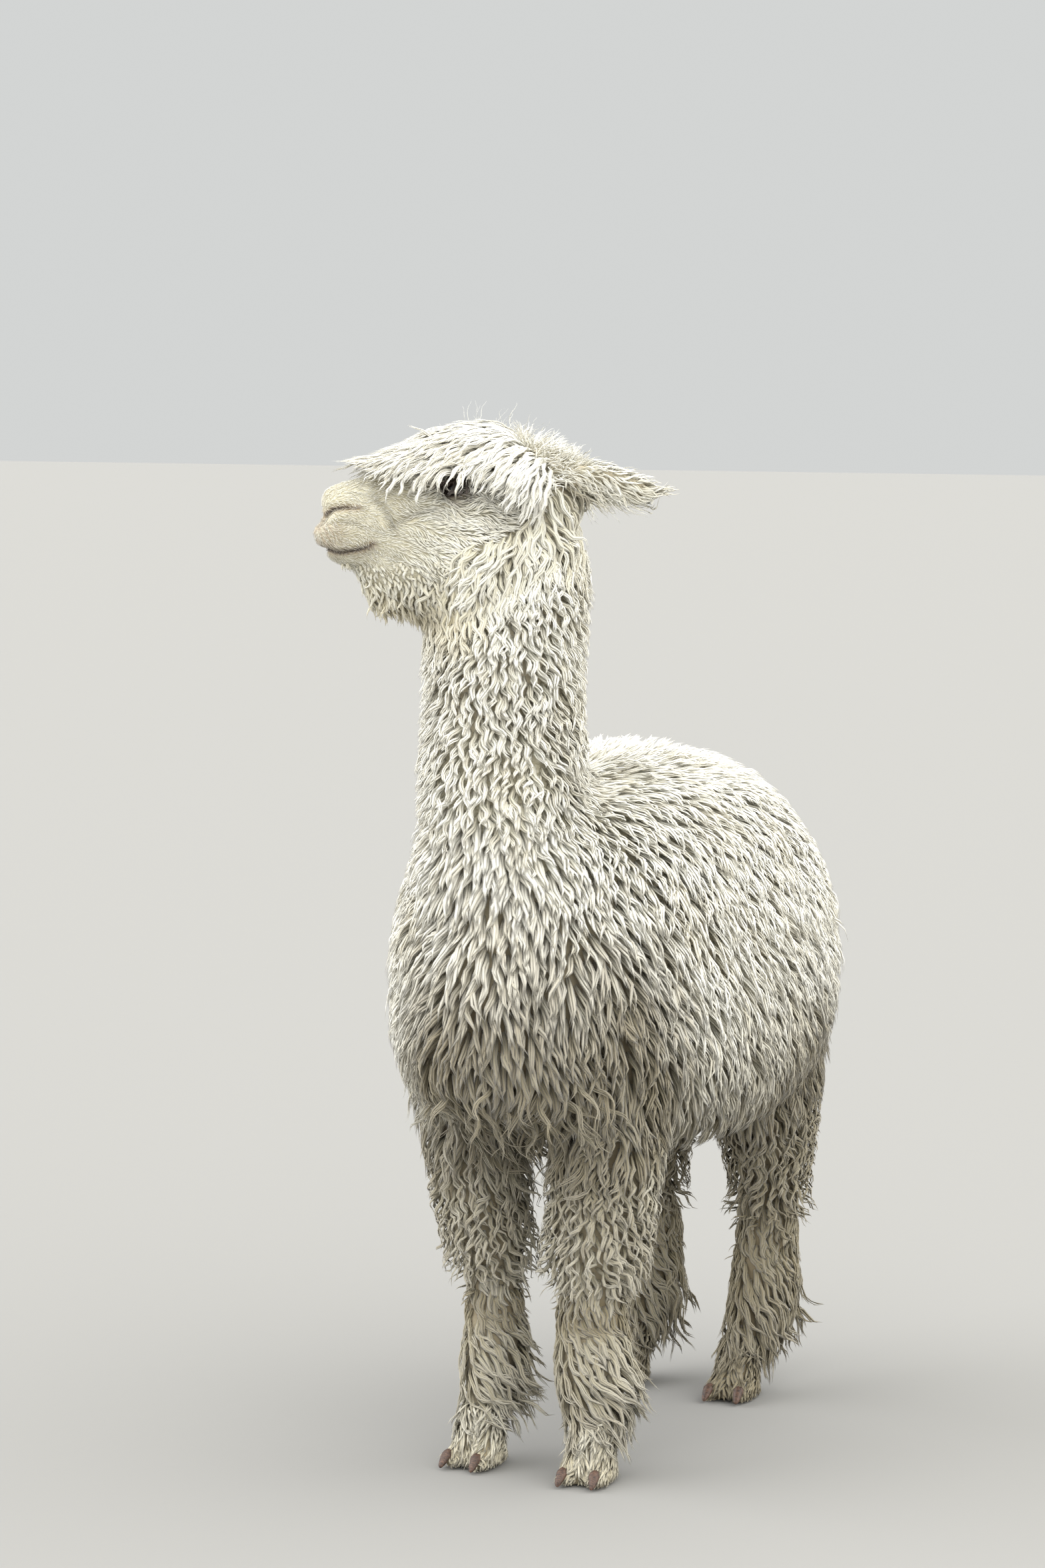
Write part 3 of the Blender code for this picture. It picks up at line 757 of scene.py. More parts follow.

# %% [markdown]
# ## Haired skin
#
# The skin is a hide with hair on it. On the face the hairs are a few millimetres long and lie flat, which noise
# gives when it is stretched along their lie: fine streaks of cream over a darker ground, and a soft sheen at
# grazing angles, where fine hairs stick out. Under the coat it shows only in the gaps between locks, so there it
# has a darker colour, partly matted roots and partly painted shade between the locks; on the crown, and on the
# back as painted light from above, it keeps more of the lighter hair colour. The markings are laid over both,
# here and later on the wool.

# %% Paint shared by skin and coat
def paint_markings(material, base):
    """Lays the four markings over a base colour, each as strongly as its attribute says."""
    # The grey layer is dust and painted shade; the dark layer is the rims of the lids and painted shade in the
    # mouth and nostrils.
    for mark, code, most, blend in (
        ("grey", "7E735B", 0.85, "MULTIPLY"),
        ("straw", "DCCB98", 0.70, "MULTIPLY"),
        ("rose", "A68A6E", 0.85, "MIX"),
        ("dark", "33241D", 0.95, "MIX"),
    ):
        amount = add_node(material, "Attribute", "Fac", attribute_name=mark)
        share = add_node(material, "Math", 0, {0: amount, 1: most}, operation="MULTIPLY")
        layer = {SHARE: share, FIRST: base, SECOND: colour(code)}
        base = add_node(material, "Mix", MIXED, layer, data_type="RGBA", blend_type=blend)
    return base


# %% Skin finish
HAIR_LENGTH, HAIR_WIDTH = 7 * MM, 1.1 * MM  # drawn wider than a real hair, so that it shows
BLOTCH = 22 * MM
# The ground under the coat: matted roots, and painted shade between the locks.
MATTED_SHADED_ROOTS = "C8BEA6"

skin_paint, shader = new_material("haired_skin", 0.82, Sheen_Weight=0.12, Sheen_Roughness=0.5)
place = add_node(skin_paint, "Attribute", "Vector", attribute_name="lie_place")
stretched = (1 / HAIR_LENGTH, 1 / HAIR_WIDTH, 1 / HAIR_WIDTH)
along_hair = add_node(skin_paint, "Mapping", "Vector", {"Vector": place, "Scale": stretched})
streaks = add_node(
    skin_paint, "TexNoise", "Fac", {"Vector": along_hair, "Scale": 0.5, "Detail": 3.0, "Roughness": 0.6}
)
blotches = add_node(skin_paint, "TexNoise", "Fac", {"Vector": place, "Scale": 1 / BLOTCH, "Detail": 2.0})
hair_stops = [(0.30, "AFA88D"), (0.46, "CEC9B3"), (0.64, "E4E1D2")]
hair = add_node(skin_paint, "ValToRGB", "Color", {"Fac": streaks}, hair_stops)
patches = add_node(skin_paint, "ValToRGB", "Color", {"Fac": blotches}, [(0.35, "D3C8B0"), (0.65, "FFFFFF")])
hair = add_node(skin_paint, "Mix", MIXED, {SHARE: 0.35, FIRST: hair, SECOND: patches}, **MULTIPLY)
wooled = add_node(skin_paint, "Attribute", "Fac", attribute_name="wooled")
base = add_node(
    skin_paint, "Mix", MIXED, {SHARE: wooled, FIRST: hair, SECOND: colour(MATTED_SHADED_ROOTS)}, data_type="RGBA"
)
link(skin_paint, paint_markings(skin_paint, base), shader.inputs["Base Color"])
bump = add_node(skin_paint, "Bump", "Normal", {"Height": streaks, "Distance": 0.9 * MM, "Strength": 0.7})
link(skin_paint, bump, shader.inputs["Normal"])

# %% Skin piece
places, height = in_head(vertex_places(skin)), vertex_places(skin)[:, 2]
lie_place = skin.data.attributes.new("lie_place", "FLOAT_VECTOR", "POINT")
lie_place.data.foreach_set("vector", places.ravel().astype(np.float32))
on_face = fade(places[:, 0], -45 * MM, 0) * fade(height, 1.1, 1.14)
on_face *= 1 - fade(places[:, 2], 24 * MM, 34 * MM) * fade(places[:, 0], 140 * MM, 110 * MM)
on_crown = fade(places[:, 2], 10 * MM, 40 * MM) * fade(places[:, 0], -90 * MM, -60 * MM)
# Painted light: on the back the skin between the locks keeps the lighter hair colour.
on_back = fade(height, 0.68, 0.88) * fade(height, 1.0, 0.95)
keep_on_points(skin, "wooled", (1 - on_face) * (1 - np.maximum(0.75 * on_crown, 0.95 * on_back)))
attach(skin, "root")
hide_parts(*FLESH, "topknot")
skin.data.materials.clear()
skin.data.materials.append(skin_paint)
skin.data.shade_smooth()

# %% [markdown]
# ## How a coat can be made of mesh
#
# Particle hair would be quick, but it is lost when a model is exported, so each lock is a small closed mesh. A
# lock of alpaca wool, called a staple, is a flat bundle that crimps as one and ends in a point. Here it is a few
# strands side by side, and a strand is a three-sided tube that tapers to one point.
#
# First the skin is made easy to question: points scattered evenly over a part of it, with the direction out, the
# depth of the coat and the place on the unwrap, and for any point in the air the skin below it.

# %% The skin as arrays
skin.data.calc_loop_triangles()
corners = numbers(skin.data.loop_triangles, "vertices", 3, np.int32)
loops = numbers(skin.data.loop_triangles, "loops", 3, np.int32)
skin_map = numbers(skin.data.uv_layers["OFBake"].uv, "vector", 2)
skin_places, skin_outs = vertex_places(skin), vertex_outs(skin)
skin_wool = numbers(skin.data.attributes["coat_depth"].data, "value", 1)[:, 0]
triangle_middles = skin_places[corners].mean(axis=1)
triangle_outs = unit(skin_outs[corners].mean(axis=1))
triangle_sides = skin_places[corners[:, 1:]] - skin_places[corners[:, :1]]
triangle_areas = np.linalg.norm(np.cross(triangle_sides[:, 0], triangle_sides[:, 1]), axis=1) / 2
skin_tree = BVHTree.FromPolygons(skin_places.tolist(), corners.tolist())
print("skin area in m2:", round(triangle_areas.sum(), 2))

# %% Questions to the skin
TRIES = 5  # places tried for each root that fits
CLOSEST = 0.78  # two roots are at least this share of the spacing apart


def skin_below(points):
    """The skin's nearest point to each of these, its smoothed direction out, and which triangle it lies on."""
    found = [skin_tree.find_nearest(p) for p in points.tolist()]
    places, triangles = np.array([f[0] for f in found]), [f[2] for f in found]
    return places, triangle_outs[triangles], triangles


def scatter(where, spacing, seed):
    """Roots about one spacing apart on the triangles where the answer is yes: place, out, wool, map place."""
    rng = np.random.default_rng(seed)
    weights = triangle_areas * where
    tries = int(TRIES * weights.sum() / spacing**2) + 8
    chosen = rng.choice(len(weights), tries, p=weights / weights.sum())
    shares = rng.dirichlet((1, 1, 1), tries)
    places = np.einsum("ij,ijk->ik", shares, skin_places[corners[chosen]])
    tree = KDTree(tries)
    for index, place in enumerate(places.tolist()):
        tree.insert(place, index)
    tree.balance()
    free, kept = np.ones(tries, bool), []
    for index, place in enumerate(places.tolist()):
        if free[index]:
            kept.append(index)
            free[[hit[1] for hit in tree.find_range(place, CLOSEST * spacing)]] = False
    chosen, shares = chosen[kept], shares[kept]
    outs = unit(np.einsum("ij,ijk->ik", shares, skin_outs[corners[chosen]]))
    wool = np.einsum("ij,ij->i", shares, skin_wool[corners[chosen]])
    on_map = np.einsum("ij,ijk->ik", shares, skin_map[loops[chosen]])
    return places[kept], outs, wool, on_map


# %% [markdown]
# ## Growing a lock
#
# A lock starts at its root and takes one short step after another. Each step follows the lie of the coat at that
# place, and climbs or sinks towards the height that a lock should have by then: nothing at the root and the full
# depth of the coat at the tip. So every lock lies over the roots of those below it, as slates do on a roof.
#
# Each kind of wool is a dictionary. What it doesn't say of itself is as usual.

# %% The usual lock
USUAL = dict(
    stand=0.5,  # how steeply it leaves the skin
    rise=0.6,  # below 1 it is soon high, and above 1 late
    cling=0.6,  # how steeply it may turn back down to the skin
    unruly=0.15,  # how far it leaves the lie of its neighbours
    ragged=0.18,  # the share by which some of its strands are shorter
    mixed=1.0,  # how far out of step it waves with its neighbours
    gather=0.6,  # how far its strands draw together at the tip
    curl=0.4,  # how far it waves away from the skin, as a share of its wave along it
    puff=0,  # mm that it stands higher than the coat's depth
    lit_root=0,  # how far the painted shade at its root is lifted, from 0 to 1
    pieces=1,  # how many meshes its part of the coat is shared among
    slot="fleece",
)
STEPS = 8
HEADING_KEPT = 0.7  # how much of its last direction a lock keeps
STEEPEST_CLIMB = 0.9
STEEP_FALL = -0.3  # a lock that has to sink faster than this may point into the skin


def for_roots(value, roots):
    """A value for each root, whether the wool gives one number or a function of the roots."""
    return value(roots) if callable(value) else np.full(len(roots), float(value))


# %% Paths
def grow(roots, outs, wool, length, zone, rng):
    """One path for each root: its points, and the skin's direction out at each."""
    paths, directions = [roots], [outs]
    lie = zone["lie"]
    turn = for_roots(zone["unruly"], roots)[:, None] * rng.normal(size=roots.shape)
    step = (length / STEPS)[:, None]
    heading = unit(flat_on(lie(roots, outs, 0.0) + turn, outs)) + outs * zone["stand"]
    for number in range(1, STEPS + 1):
        share = number / STEPS
        ground, out, _ = skin_below(paths[-1])
        height = np.sum((paths[-1] - ground) * out, axis=1)
        along = unit(lie(paths[-1], out, share) + turn)
        lift = np.clip((wool * share ** zone["rise"] - height) / step[:, 0], -zone["cling"], STEEPEST_CLIMB)
        inward = np.minimum(np.sum(along * out, axis=1), 0) * (lift > STEEP_FALL)
        along = unit(along - out * inward[:, None])
        heading = unit(unit(heading) * HEADING_KEPT + along + out * lift[:, None])
        paths.append(paths[-1] + heading * step)
        directions.append(out)
    return np.stack(paths, 1), np.stack(directions, 1)


def read_along(points, ticks):
    """Smooth curves through each row of points, read at ticks from 0 to 1."""
    last = points.shape[1] - 1
    at = np.clip(ticks, 0, 1) * last
    index = np.minimum(at.astype(int), last - 1)
    share = (at - index)[..., None]
    row = np.arange(len(points))[:, None]
    a, b, c, d = (points[row, np.clip(index + step, 0, last)] for step in (-1, 0, 1, 2))
    bend, twist = 2 * a - 5 * b + 4 * c - d, 3 * (b - c) + d - a
    return 0.5 * (2 * b + (c - a) * share + bend * share**2 + twist * share**3)


# %% [markdown]
# ## From paths to strands
#
# The strands of one lock share its wave, which is what makes crimped wool look crimped, and differ a little in
# length. They start side by side and draw together at the tip. The wave swings from side to side along the skin
# and, less, away from it.

# %% Strands
TAPER = 2.2  # higher keeps a strand full for longer
OVERLAP = 0.52  # from one strand's middle to the next one's, as a share of a strand's width
WAVE_PATCH = 60 * MM  # neighbours about this far apart wave in step
WAVE_SPREAD, CRIMP_SPREAD, WIDTH_SPREAD = (0.85, 1.2), (0.6, 1.3), (0.8, 1.2)  # least and most, for each lock
STRAND_SHIFT = 0.25  # how far the strands of one lock are out of step


def ring_axes(centre, out):
    """The directions to the side and out at each ring, square to the strand."""
    ahead = unit(np.gradient(centre, axis=1))
    side = unit(np.cross(ahead, out))
    return side, np.cross(side, ahead)


def strands_of(paths, directions, length, zone, rng):
    """Centre, side and out directions and half width at each ring of each strand, and where along it that is."""
    each, roots = zone["strands"], paths[:, 0]
    locks = len(paths)
    lock = np.repeat(np.arange(locks), each)
    beside = np.tile(np.linspace(-1, 1, each) if each > 1 else np.zeros(1), locks)
    reach = rng.uniform(1 - zone["ragged"], 1, len(lock))
    even = np.linspace(0, 1, zone["rings"] + 1)
    ticks = reach[:, None] * even
    centre, out = read_along(paths[lock], ticks), unit(read_along(directions[lock], ticks))
    side, out = ring_axes(centre, out)
    wave = (for_roots(zone["wave"], roots) * MM * rng.uniform(*WAVE_SPREAD, locks))[lock][:, None]
    start = field(roots, WAVE_PATCH, zone["seed"]) * 2.5 + rng.normal(0, zone["mixed"], locks)
    phase = 2 * math.pi * ticks * length[lock][:, None] / wave + start[lock][:, None]
    phase += rng.normal(0, STRAND_SHIFT, len(lock))[:, None]
    crimp = (for_roots(zone["crimp"], roots) * MM * rng.uniform(*CRIMP_SPREAD, locks))[lock][:, None]
    swing = crimp * fade(ticks, 0.02, 0.45)
    full = (for_roots(zone["width"], roots)[lock] * MM * rng.uniform(*WIDTH_SPREAD, len(lock)))[:, None]
    gather = 0.65 + 0.35 * fade(even, 0, 0.4) - zone["gather"] * fade(even, 0.45, 1)
    offset = beside[:, None] * gather * full * OVERLAP / 2 * (each - 1)
    rounded = (1 - beside[:, None] ** 2) * full * 0.35
    centre = centre + side * (offset + swing * np.sin(phase))[..., None]
    centre = centre + out * (rounded + zone["curl"] * swing * np.cos(phase))[..., None]
    side, out = ring_axes(centre, out)
    half = full / 2 * (0.6 + 0.4 * fade(even, 0, 0.2)) * np.sqrt(np.clip(1 - even**TAPER, 0, 1))
    return centre, side, out, half, np.broadcast_to(even, half.shape), lock


# %% [markdown]
# ## From strands to one mesh
#
# All the strands of a piece go into one mesh at once. Each ring has three points, two on the skin's side and a
# ridge outwards, and the last ring is a single point. The coat carries the same markings as the skin, taken at
# each root. It also keeps a tone of its own for each lock.
#
# Every strand has two maps. On OFBake it takes a small patch at its lock's root, for baking, and the map called
# strand runs once round it and once along it, for the finish.

# %% Faces of a strand
PATCH = 0.003  # what one lock takes up on the OFBake map
BELOW, RIDGE = 0.18, 0.42  # how flat a strand is, as shares of half its width
SIDES = 3


def strand_faces(strands, rings):
    """The point numbers of all the four-sided and all the three-sided faces."""
    per_strand = rings * SIDES + 1
    start = (np.arange(strands) * per_strand)[:, None, None]
    corner = np.arange(SIDES)
    after = (corner + 1) % SIDES
    ring = np.arange(rings - 1)[:, None] * SIDES
    quads = np.stack([ring + corner, ring + SIDES + corner, ring + SIDES + after, ring + after], -1)
    last = (rings - 1) * SIDES
    tip = np.stack([last + corner, np.full(SIDES, per_strand - 1), last + after], -1)
    return quads.reshape(1, -1, 4) + start, np.concatenate([tip, [[0, 1, 2]]])[None] + start


# %% Meshes of strands
def strand_mesh(name, centre, side, out, half, along, lock, on_map, marks):
    """One closed tube for each strand. marks is {attribute: a number for each lock}."""
    strands, rings = half.shape[0], half.shape[1] - 1
    body = centre[:, :rings]
    wide, high = side[:, :rings] * half[:, :rings, None], out[:, :rings] * half[:, :rings, None]
    ring = np.stack([body - wide - high * BELOW, body + wide - high * BELOW, body + high * RIDGE], axis=2)
    points = np.concatenate([ring.reshape(strands, rings * SIDES, 3), centre[:, rings:]], axis=1)
    quads, triangles = (faces.reshape(-1, faces.shape[-1]) for faces in strand_faces(strands, rings))
    loop_points = np.concatenate([quads.ravel(), triangles.ravel()])
    starts = np.concatenate([np.arange(len(quads)) * 4, quads.size + np.arange(len(triangles)) * 3])

    mesh = bpy.data.meshes.new(name)
    mesh.vertices.add(points.size // 3)
    mesh.vertices.foreach_set("co", points.ravel().astype(np.float32))
    mesh.loops.add(len(loop_points))
    mesh.loops.foreach_set("vertex_index", loop_points.astype(np.int32))
    mesh.polygons.add(len(starts))
    mesh.polygons.foreach_set("loop_start", starts.astype(np.int32))
    mesh.update()

    across = np.concatenate([np.tile([0.0, 1.0, 0.5], rings), [0.5]])
    lengthwise = np.concatenate([np.repeat(along[:, :rings], SIDES, axis=1), np.ones((strands, 1))], axis=1)
    own = np.stack([np.broadcast_to(across, lengthwise.shape), lengthwise], -1).reshape(-1, 2)
    per_strand = points.shape[1]
    spot = np.repeat(on_map[lock], per_strand, axis=0)
    for map_name, places in (("OFBake", spot + (own - 0.5) * PATCH), ("strand", own)):
        layer = mesh.uv_layers.new(name=map_name)
        layer.uv.foreach_set("vector", places[loop_points].ravel().astype(np.float32))
    for mark, values in marks.items():
        made = mesh.attributes.new(mark, "FLOAT", "POINT")
        made.data.foreach_set("value", np.repeat(values[lock], per_strand).astype(np.float32))
    mesh.shade_smooth()
    obj = bpy.data.objects.new(name, mesh)
    bpy.context.scene.collection.objects.link(obj)
    return obj, len(quads) * 2 + len(triangles)


# %% [markdown]
# ## The lie of the coat
#
# Each part of the coat has its own lie, a function that gives a direction for a point, the direction out there
# and how far along its length the lock is. Wool hangs on the neck and legs, sweeps down and back over the flank,
# and the forelock is combed from the poll forward over the brow, where its tips drop.

# %% Lies of the body and legs
WIND = np.array([0.90, 0.43, 0.0])  # blows the wool of the shins back and to its left


def hanging(points, lean, sway, size, seed):
    """Straight down with a lean, and a smooth random sway, so that neighbours hang alike."""
    toward = np.tile([lean, 0.0, -1.0], (len(points), 1))
    toward[:, 0] += sway * field(points, size, seed)
    toward[:, 1] += sway * field(points, size, seed + 1)
    return toward


def flank_lie(points, outs, share):
    """Down from a parting along the spine, and there and on the belly towards the tail."""
    x, y, z = points.T
    side = np.tanh(x / (40 * MM))
    top, under = fade(outs[:, 2], 0.2, 0.9), fade(outs[:, 2], -0.3, -0.8)
    back = 0.06 - 0.80 * fade(outs[:, 2], 0.05, 0.5) + 0.75 * top + 0.3 * under
    back += 0.7 * top * fade(np.abs(x), 45 * MM, 0)
    toward = np.stack([side * (0.04 + 0.25 * top - 0.7 * under), back, np.full(len(x), -1.0)], -1)
    toward[:, 0] += 0.16 * field(points, 110 * MM, 11)
    toward[:, 1] += 0.14 * field(points, 110 * MM, 12)
    return unit(flat_on(toward, outs))


def neck_lie(points, outs, share):
    return unit(flat_on(hanging(points, 0.10, 0.22, 80 * MM, 21), outs))


def leg_lie(points, outs, share):
    return unit(flat_on(hanging(points, 0.12, 0.38, 80 * MM, 31), outs))


def shin_lie(points, outs, share):
    """Down, and blown by the wind, most in front and near the foot."""
    in_front = 0.45 + 0.55 * fade(points[:, 1], 0.05, -0.05)
    blown = WIND * (0.50 + 1.20 * share) * (in_front * fade(points[:, 2], 0.25, 0.19))[:, None]
    return unit(hanging(points, 0.0, 0.25, 60 * MM, 41) + blown)


def foot_lie(points, outs, share):
    """Down and forwards, over the roots of the nails."""
    toward = np.tile([0.10, -0.75, -0.60], (len(points), 1))
    toward[:, 0] += 0.4 * field(points, 25 * MM, 72)
    return unit(toward)


def tail_lie(points, outs, share):
    return unit(flat_on(np.tile([0.0, 0.12, -1.0], (len(points), 1)), outs))


def fringe_lie(points, outs, share):
    """The longest wool of the breast hangs and then curls to one side."""
    swing = (0.2 + 1.1 * share * share) * (0.7 + 1.1 * field(points, 70 * MM, 73))
    toward = np.stack([0.9 * swing, 0.3 * swing, np.full(len(points), -1.0 + 0.45 * share * share)], -1)
    return unit(toward + outs * 0.2)


# %% Lies of the head
POLL = -40 * MM  # the forelock parts here, measured ahead of the neck's axis
CHEEK_CENTRE = -12 * MM  # the cheek's wool fans out from here
HALF_HEAD = 72 * MM
EAR_DROP = 0.35


def world_of(ahead, left, up):
    """A direction given on the head, for arrays of the three numbers."""
    return np.stack(np.broadcast_arrays(ahead, left, up), -1) @ HEAD_AXES


def forelock_lie(points, outs, share):
    """Forward over the brow, steeper on the sides and by the ears, and dropping at the tips."""
    ahead, left, up = in_head(points).T
    aside = np.clip(np.abs(left) / HALF_HEAD, 0, 1)
    steep = 0.16 + 0.72 * aside**1.5 + 0.9 * aside * fade(ahead, 45 * MM, -25 * MM)
    steep = steep + share * share * (0.5 + 1.0 * fade(ahead, 30 * MM, 130 * MM))
    toward = world_of(1.0 + 0 * ahead, 0.40 * np.clip(left / HALF_HEAD, -1, 1) * (1 - share), -steep)
    toward = toward + 0.16 * field(points, 45 * MM, 51)[:, None] * np.array(Z)
    return unit(toward + 0.12 * field(points, 30 * MM, 53)[:, None] * np.array(head_left))


def nape_lie(points, outs, share):
    """Behind the parting the wool fans out backwards and falls towards the ears and the neck."""
    ahead, left, up = in_head(points).T
    back = fade(ahead, -20 * MM, -60 * MM)
    side = np.clip(left / (60 * MM), -1, 1)
    fall = -0.35 - 0.7 * np.abs(side) - 0.5 * share
    toward = world_of(0.5 - 1.3 * back - 0.5 * np.abs(side), side * 0.5, fall)
    fluff = world_of(0.7 * field(points, 20 * MM, 52), 0.5 * field(points, 20 * MM, 54), 0.3 * (1 - share))
    return unit(flat_on(toward, outs) + fluff)


def cheek_lie(points, outs, share):
    ahead, left, up = in_head(points).T
    fan = np.clip((ahead - CHEEK_CENTRE) / (60 * MM), -1, 1) * fade(up, -0.16, -0.05)
    toward = world_of(0.75 * fan + 0.30 * field(points, 60 * MM, 61), 0 * left, -1.0)
    return unit(flat_on(toward, outs))


def face_lie(points, outs, share):
    """Backwards and a little down, and up at the tip of the nose."""
    ahead, left, up = in_head(points).T
    low = fade(up, -20 * MM, -110 * MM)
    swirl = 0.55 * field(points, 34 * MM, 62)
    nose = fade(ahead, 0.2, 0.235) * fade(up, -0.03, 0)
    toward = world_of(-1.0, 0 * left, swirl - 0.25 - 0.5 * low + 0.5 * nose)
    return unit(flat_on(toward, outs))


def beard_lie(points, outs, share):
    return unit(world_of(-0.25, 0, -1.0) + 0.2 * field(points, 30 * MM, 71)[:, None] * np.array(head_ahead))


def ear_lie(points, outs, share):
    """Out along the ear to its tip, and down from its lower edge."""
    ahead, left, up = in_head(points).T
    under = fade(outs[:, 2], 0.2, -0.5) * (1 - 0.85 * fade(ahead, -0.125, -0.165))
    toward = world_of(-0.92, np.sign(left) * 0.34, 0.06 - EAR_DROP * share * (0.25 + under) - 0.95 * under)
    return unit(toward)


def stray_lie(points, outs, share):
    """Single hairs that stand up from the top of the head and bend over."""
    up = np.full(len(points), 1.3)
    return unit(np.stack([field(points, 12 * MM, 74), field(points, 12 * MM, 75), up], -1) - [0, 0, 1.1 * share])


# %% [markdown]
# ## Where each part of the coat grows
#
# Every triangle of the skin belongs to one kind of wool, by the solid that it lies nearest. On a real animal
# one kind runs into the next, so the borders on the body are made ragged: a triangle asks a little above or
# below itself. The head has finer borders, such as the hairline over the brow and the edge of the cheek's wool.

# %% Parts of the skin
RAGGED_BORDER = 22 * MM  # how far the wool of one part reaches into the next
CHEEK_BORDER_UP, CHEEK_BORDER_AHEAD = [-0.13, -0.074, -0.034, 0.01], [0.090, 0.064, -0.012, -0.040]


def with_ragged_borders(points):
    """Moves the points up or down a little before they are asked for their part, except at head and feet."""
    shifted = points.copy()
    body = fade(points[:, 2], 0.14, 0.20) * fade(points[:, 2], 1.10, 1.04)
    shifted[:, 2] += RAGGED_BORDER * body * (field(points, 50 * MM, 91) + field(points, 17 * MM, 92))
    return shifted


families = np.array([part_family(part) for part in nearest_part(with_ragged_borders(triangle_middles))])
x, y, z = triangle_middles.T
ahead, left, up = in_head(triangle_middles).T
uneven = field(triangle_middles, 25 * MM, 93)
hair_line = 6 * MM + 4 * MM * fade(ahead, 60 * MM, 100 * MM) + 12 * MM * fade(ahead, 90 * MM, 130 * MM)
cheek_front = np.interp(up, CHEEK_BORDER_UP, CHEEK_BORDER_AHEAD) + 7 * MM * uneven
_, toward_spot, eye_gap = from_the_eye(in_head(triangle_middles))
bare_lid = (eye_gap < eye_radius * 1.3) & (at_the_opening(toward_spot)[1] < 0.25)

is_head = np.isin(families, ["head", "lower_jaw", "eye"])
is_crown = is_head & (up > hair_line) & (ahead > POLL + 10 * MM * uneven) & (ahead < 134 * MM)
is_nape = is_head & (up > 6 * MM) & (ahead < POLL + 18 * MM)
is_cheek = is_head & ~is_crown & ~is_nape & (ahead < cheek_front)
is_beard = is_head & ~is_cheek & (up < -98 * MM + 8 * MM * uneven) & (triangle_outs[:, 2] < 0.5)
is_hair = is_head & ~is_crown & ~is_nape & ~is_cheek & ~is_beard & ~bare_lid
is_muzzle = is_hair & (ahead > 150 * MM + 10 * MM * uneven)
is_belly = (families == "trunk") & (triangle_outs[:, 2] < -0.6)
print("triangles of forelock, cheeks, face:", is_crown.sum(), is_cheek.sum(), is_hair.sum())

# %% [markdown]
# ## The parts of the coat
#
# One row for each kind of wool: how far apart its locks are, how long they are, how many strands each has and
# how wide, and the crimp's swing and wave, all in millimetres on the animal. The fleece of the flank is long and
# almost straight, the neck and cheeks are tightly crimped, and the hair of the face lies flat. A value can also
# be a function of the roots: the fleece grows shorter and curlier towards the neck, the forelock stops at the
# brow, and the wool of the upper legs ends in a cuff below the knee.

# %% Values that change over the body
CUFF = 0.236  # height at which the wool of the upper legs ends
SHORTEST_CUFF, LONGEST_CUFF, CUFF_HANG = 27, 52, 0.85  # mm, and how far down a millimetre of wool reaches
# The forelock's tips end on this line over the brow, in millimetres ahead and up: lowest behind the eye and
# highest right above it.
BROW_AHEAD = [-10, 16, 41, 64, 89, 114, 151, 188]
BROW_UP = [-34, -18, 5, 15, 19, 9, 4, 20]
FORELOCK_FRONT = 194 * MM  # and none reaches further ahead than this


def height_of(roots):
    return roots[:, 2]


def ahead_of(roots):
    return in_head(roots)[:, 0]


def up_of(roots):
    return in_head(roots)[:, 2]


def changing(first, *changes, along=height_of):
    """A value that changes along the body. Each change is (by how much, from where, to where)."""
    return lambda roots: sum((amount * fade(along(roots), start, end) for amount, start, end in changes), first)


def by_neck(roots):
    return fade(roots[:, 2], 0.72, 0.92) * fade(roots[:, 1], -0.14, -0.26)


def flank_length(roots):
    return 70 - 14 * by_neck(roots) - 24 * fade(roots[:, 2], 0.82, 0.94)


def to_the_cuff(roots):
    return np.clip((roots[:, 2] - CUFF) / MM / CUFF_HANG, SHORTEST_CUFF, LONGEST_CUFF)


def face_length(roots):
    ahead, left, up = in_head(roots).T
    return 8 + 17 * fade(ahead, 0.17, 0.07) + 9 * fade(up, -70 * MM, -100 * MM) * fade(ahead, 0.21, 0.17)


def above_brow(paths):
    """How much of each path, as a share of it, comes before the line that the forelock's tips end on."""
    places = in_head(paths.reshape(-1, 3)).reshape(paths.shape)
    below = places[..., 2] < np.interp(places[..., 0], np.array(BROW_AHEAD) * MM, np.array(BROW_UP) * MM)
    below |= places[..., 0] > FORELOCK_FRONT
    return np.where(below.any(axis=1), np.maximum(below.argmax(axis=1), 2) / STEPS, 1.0)


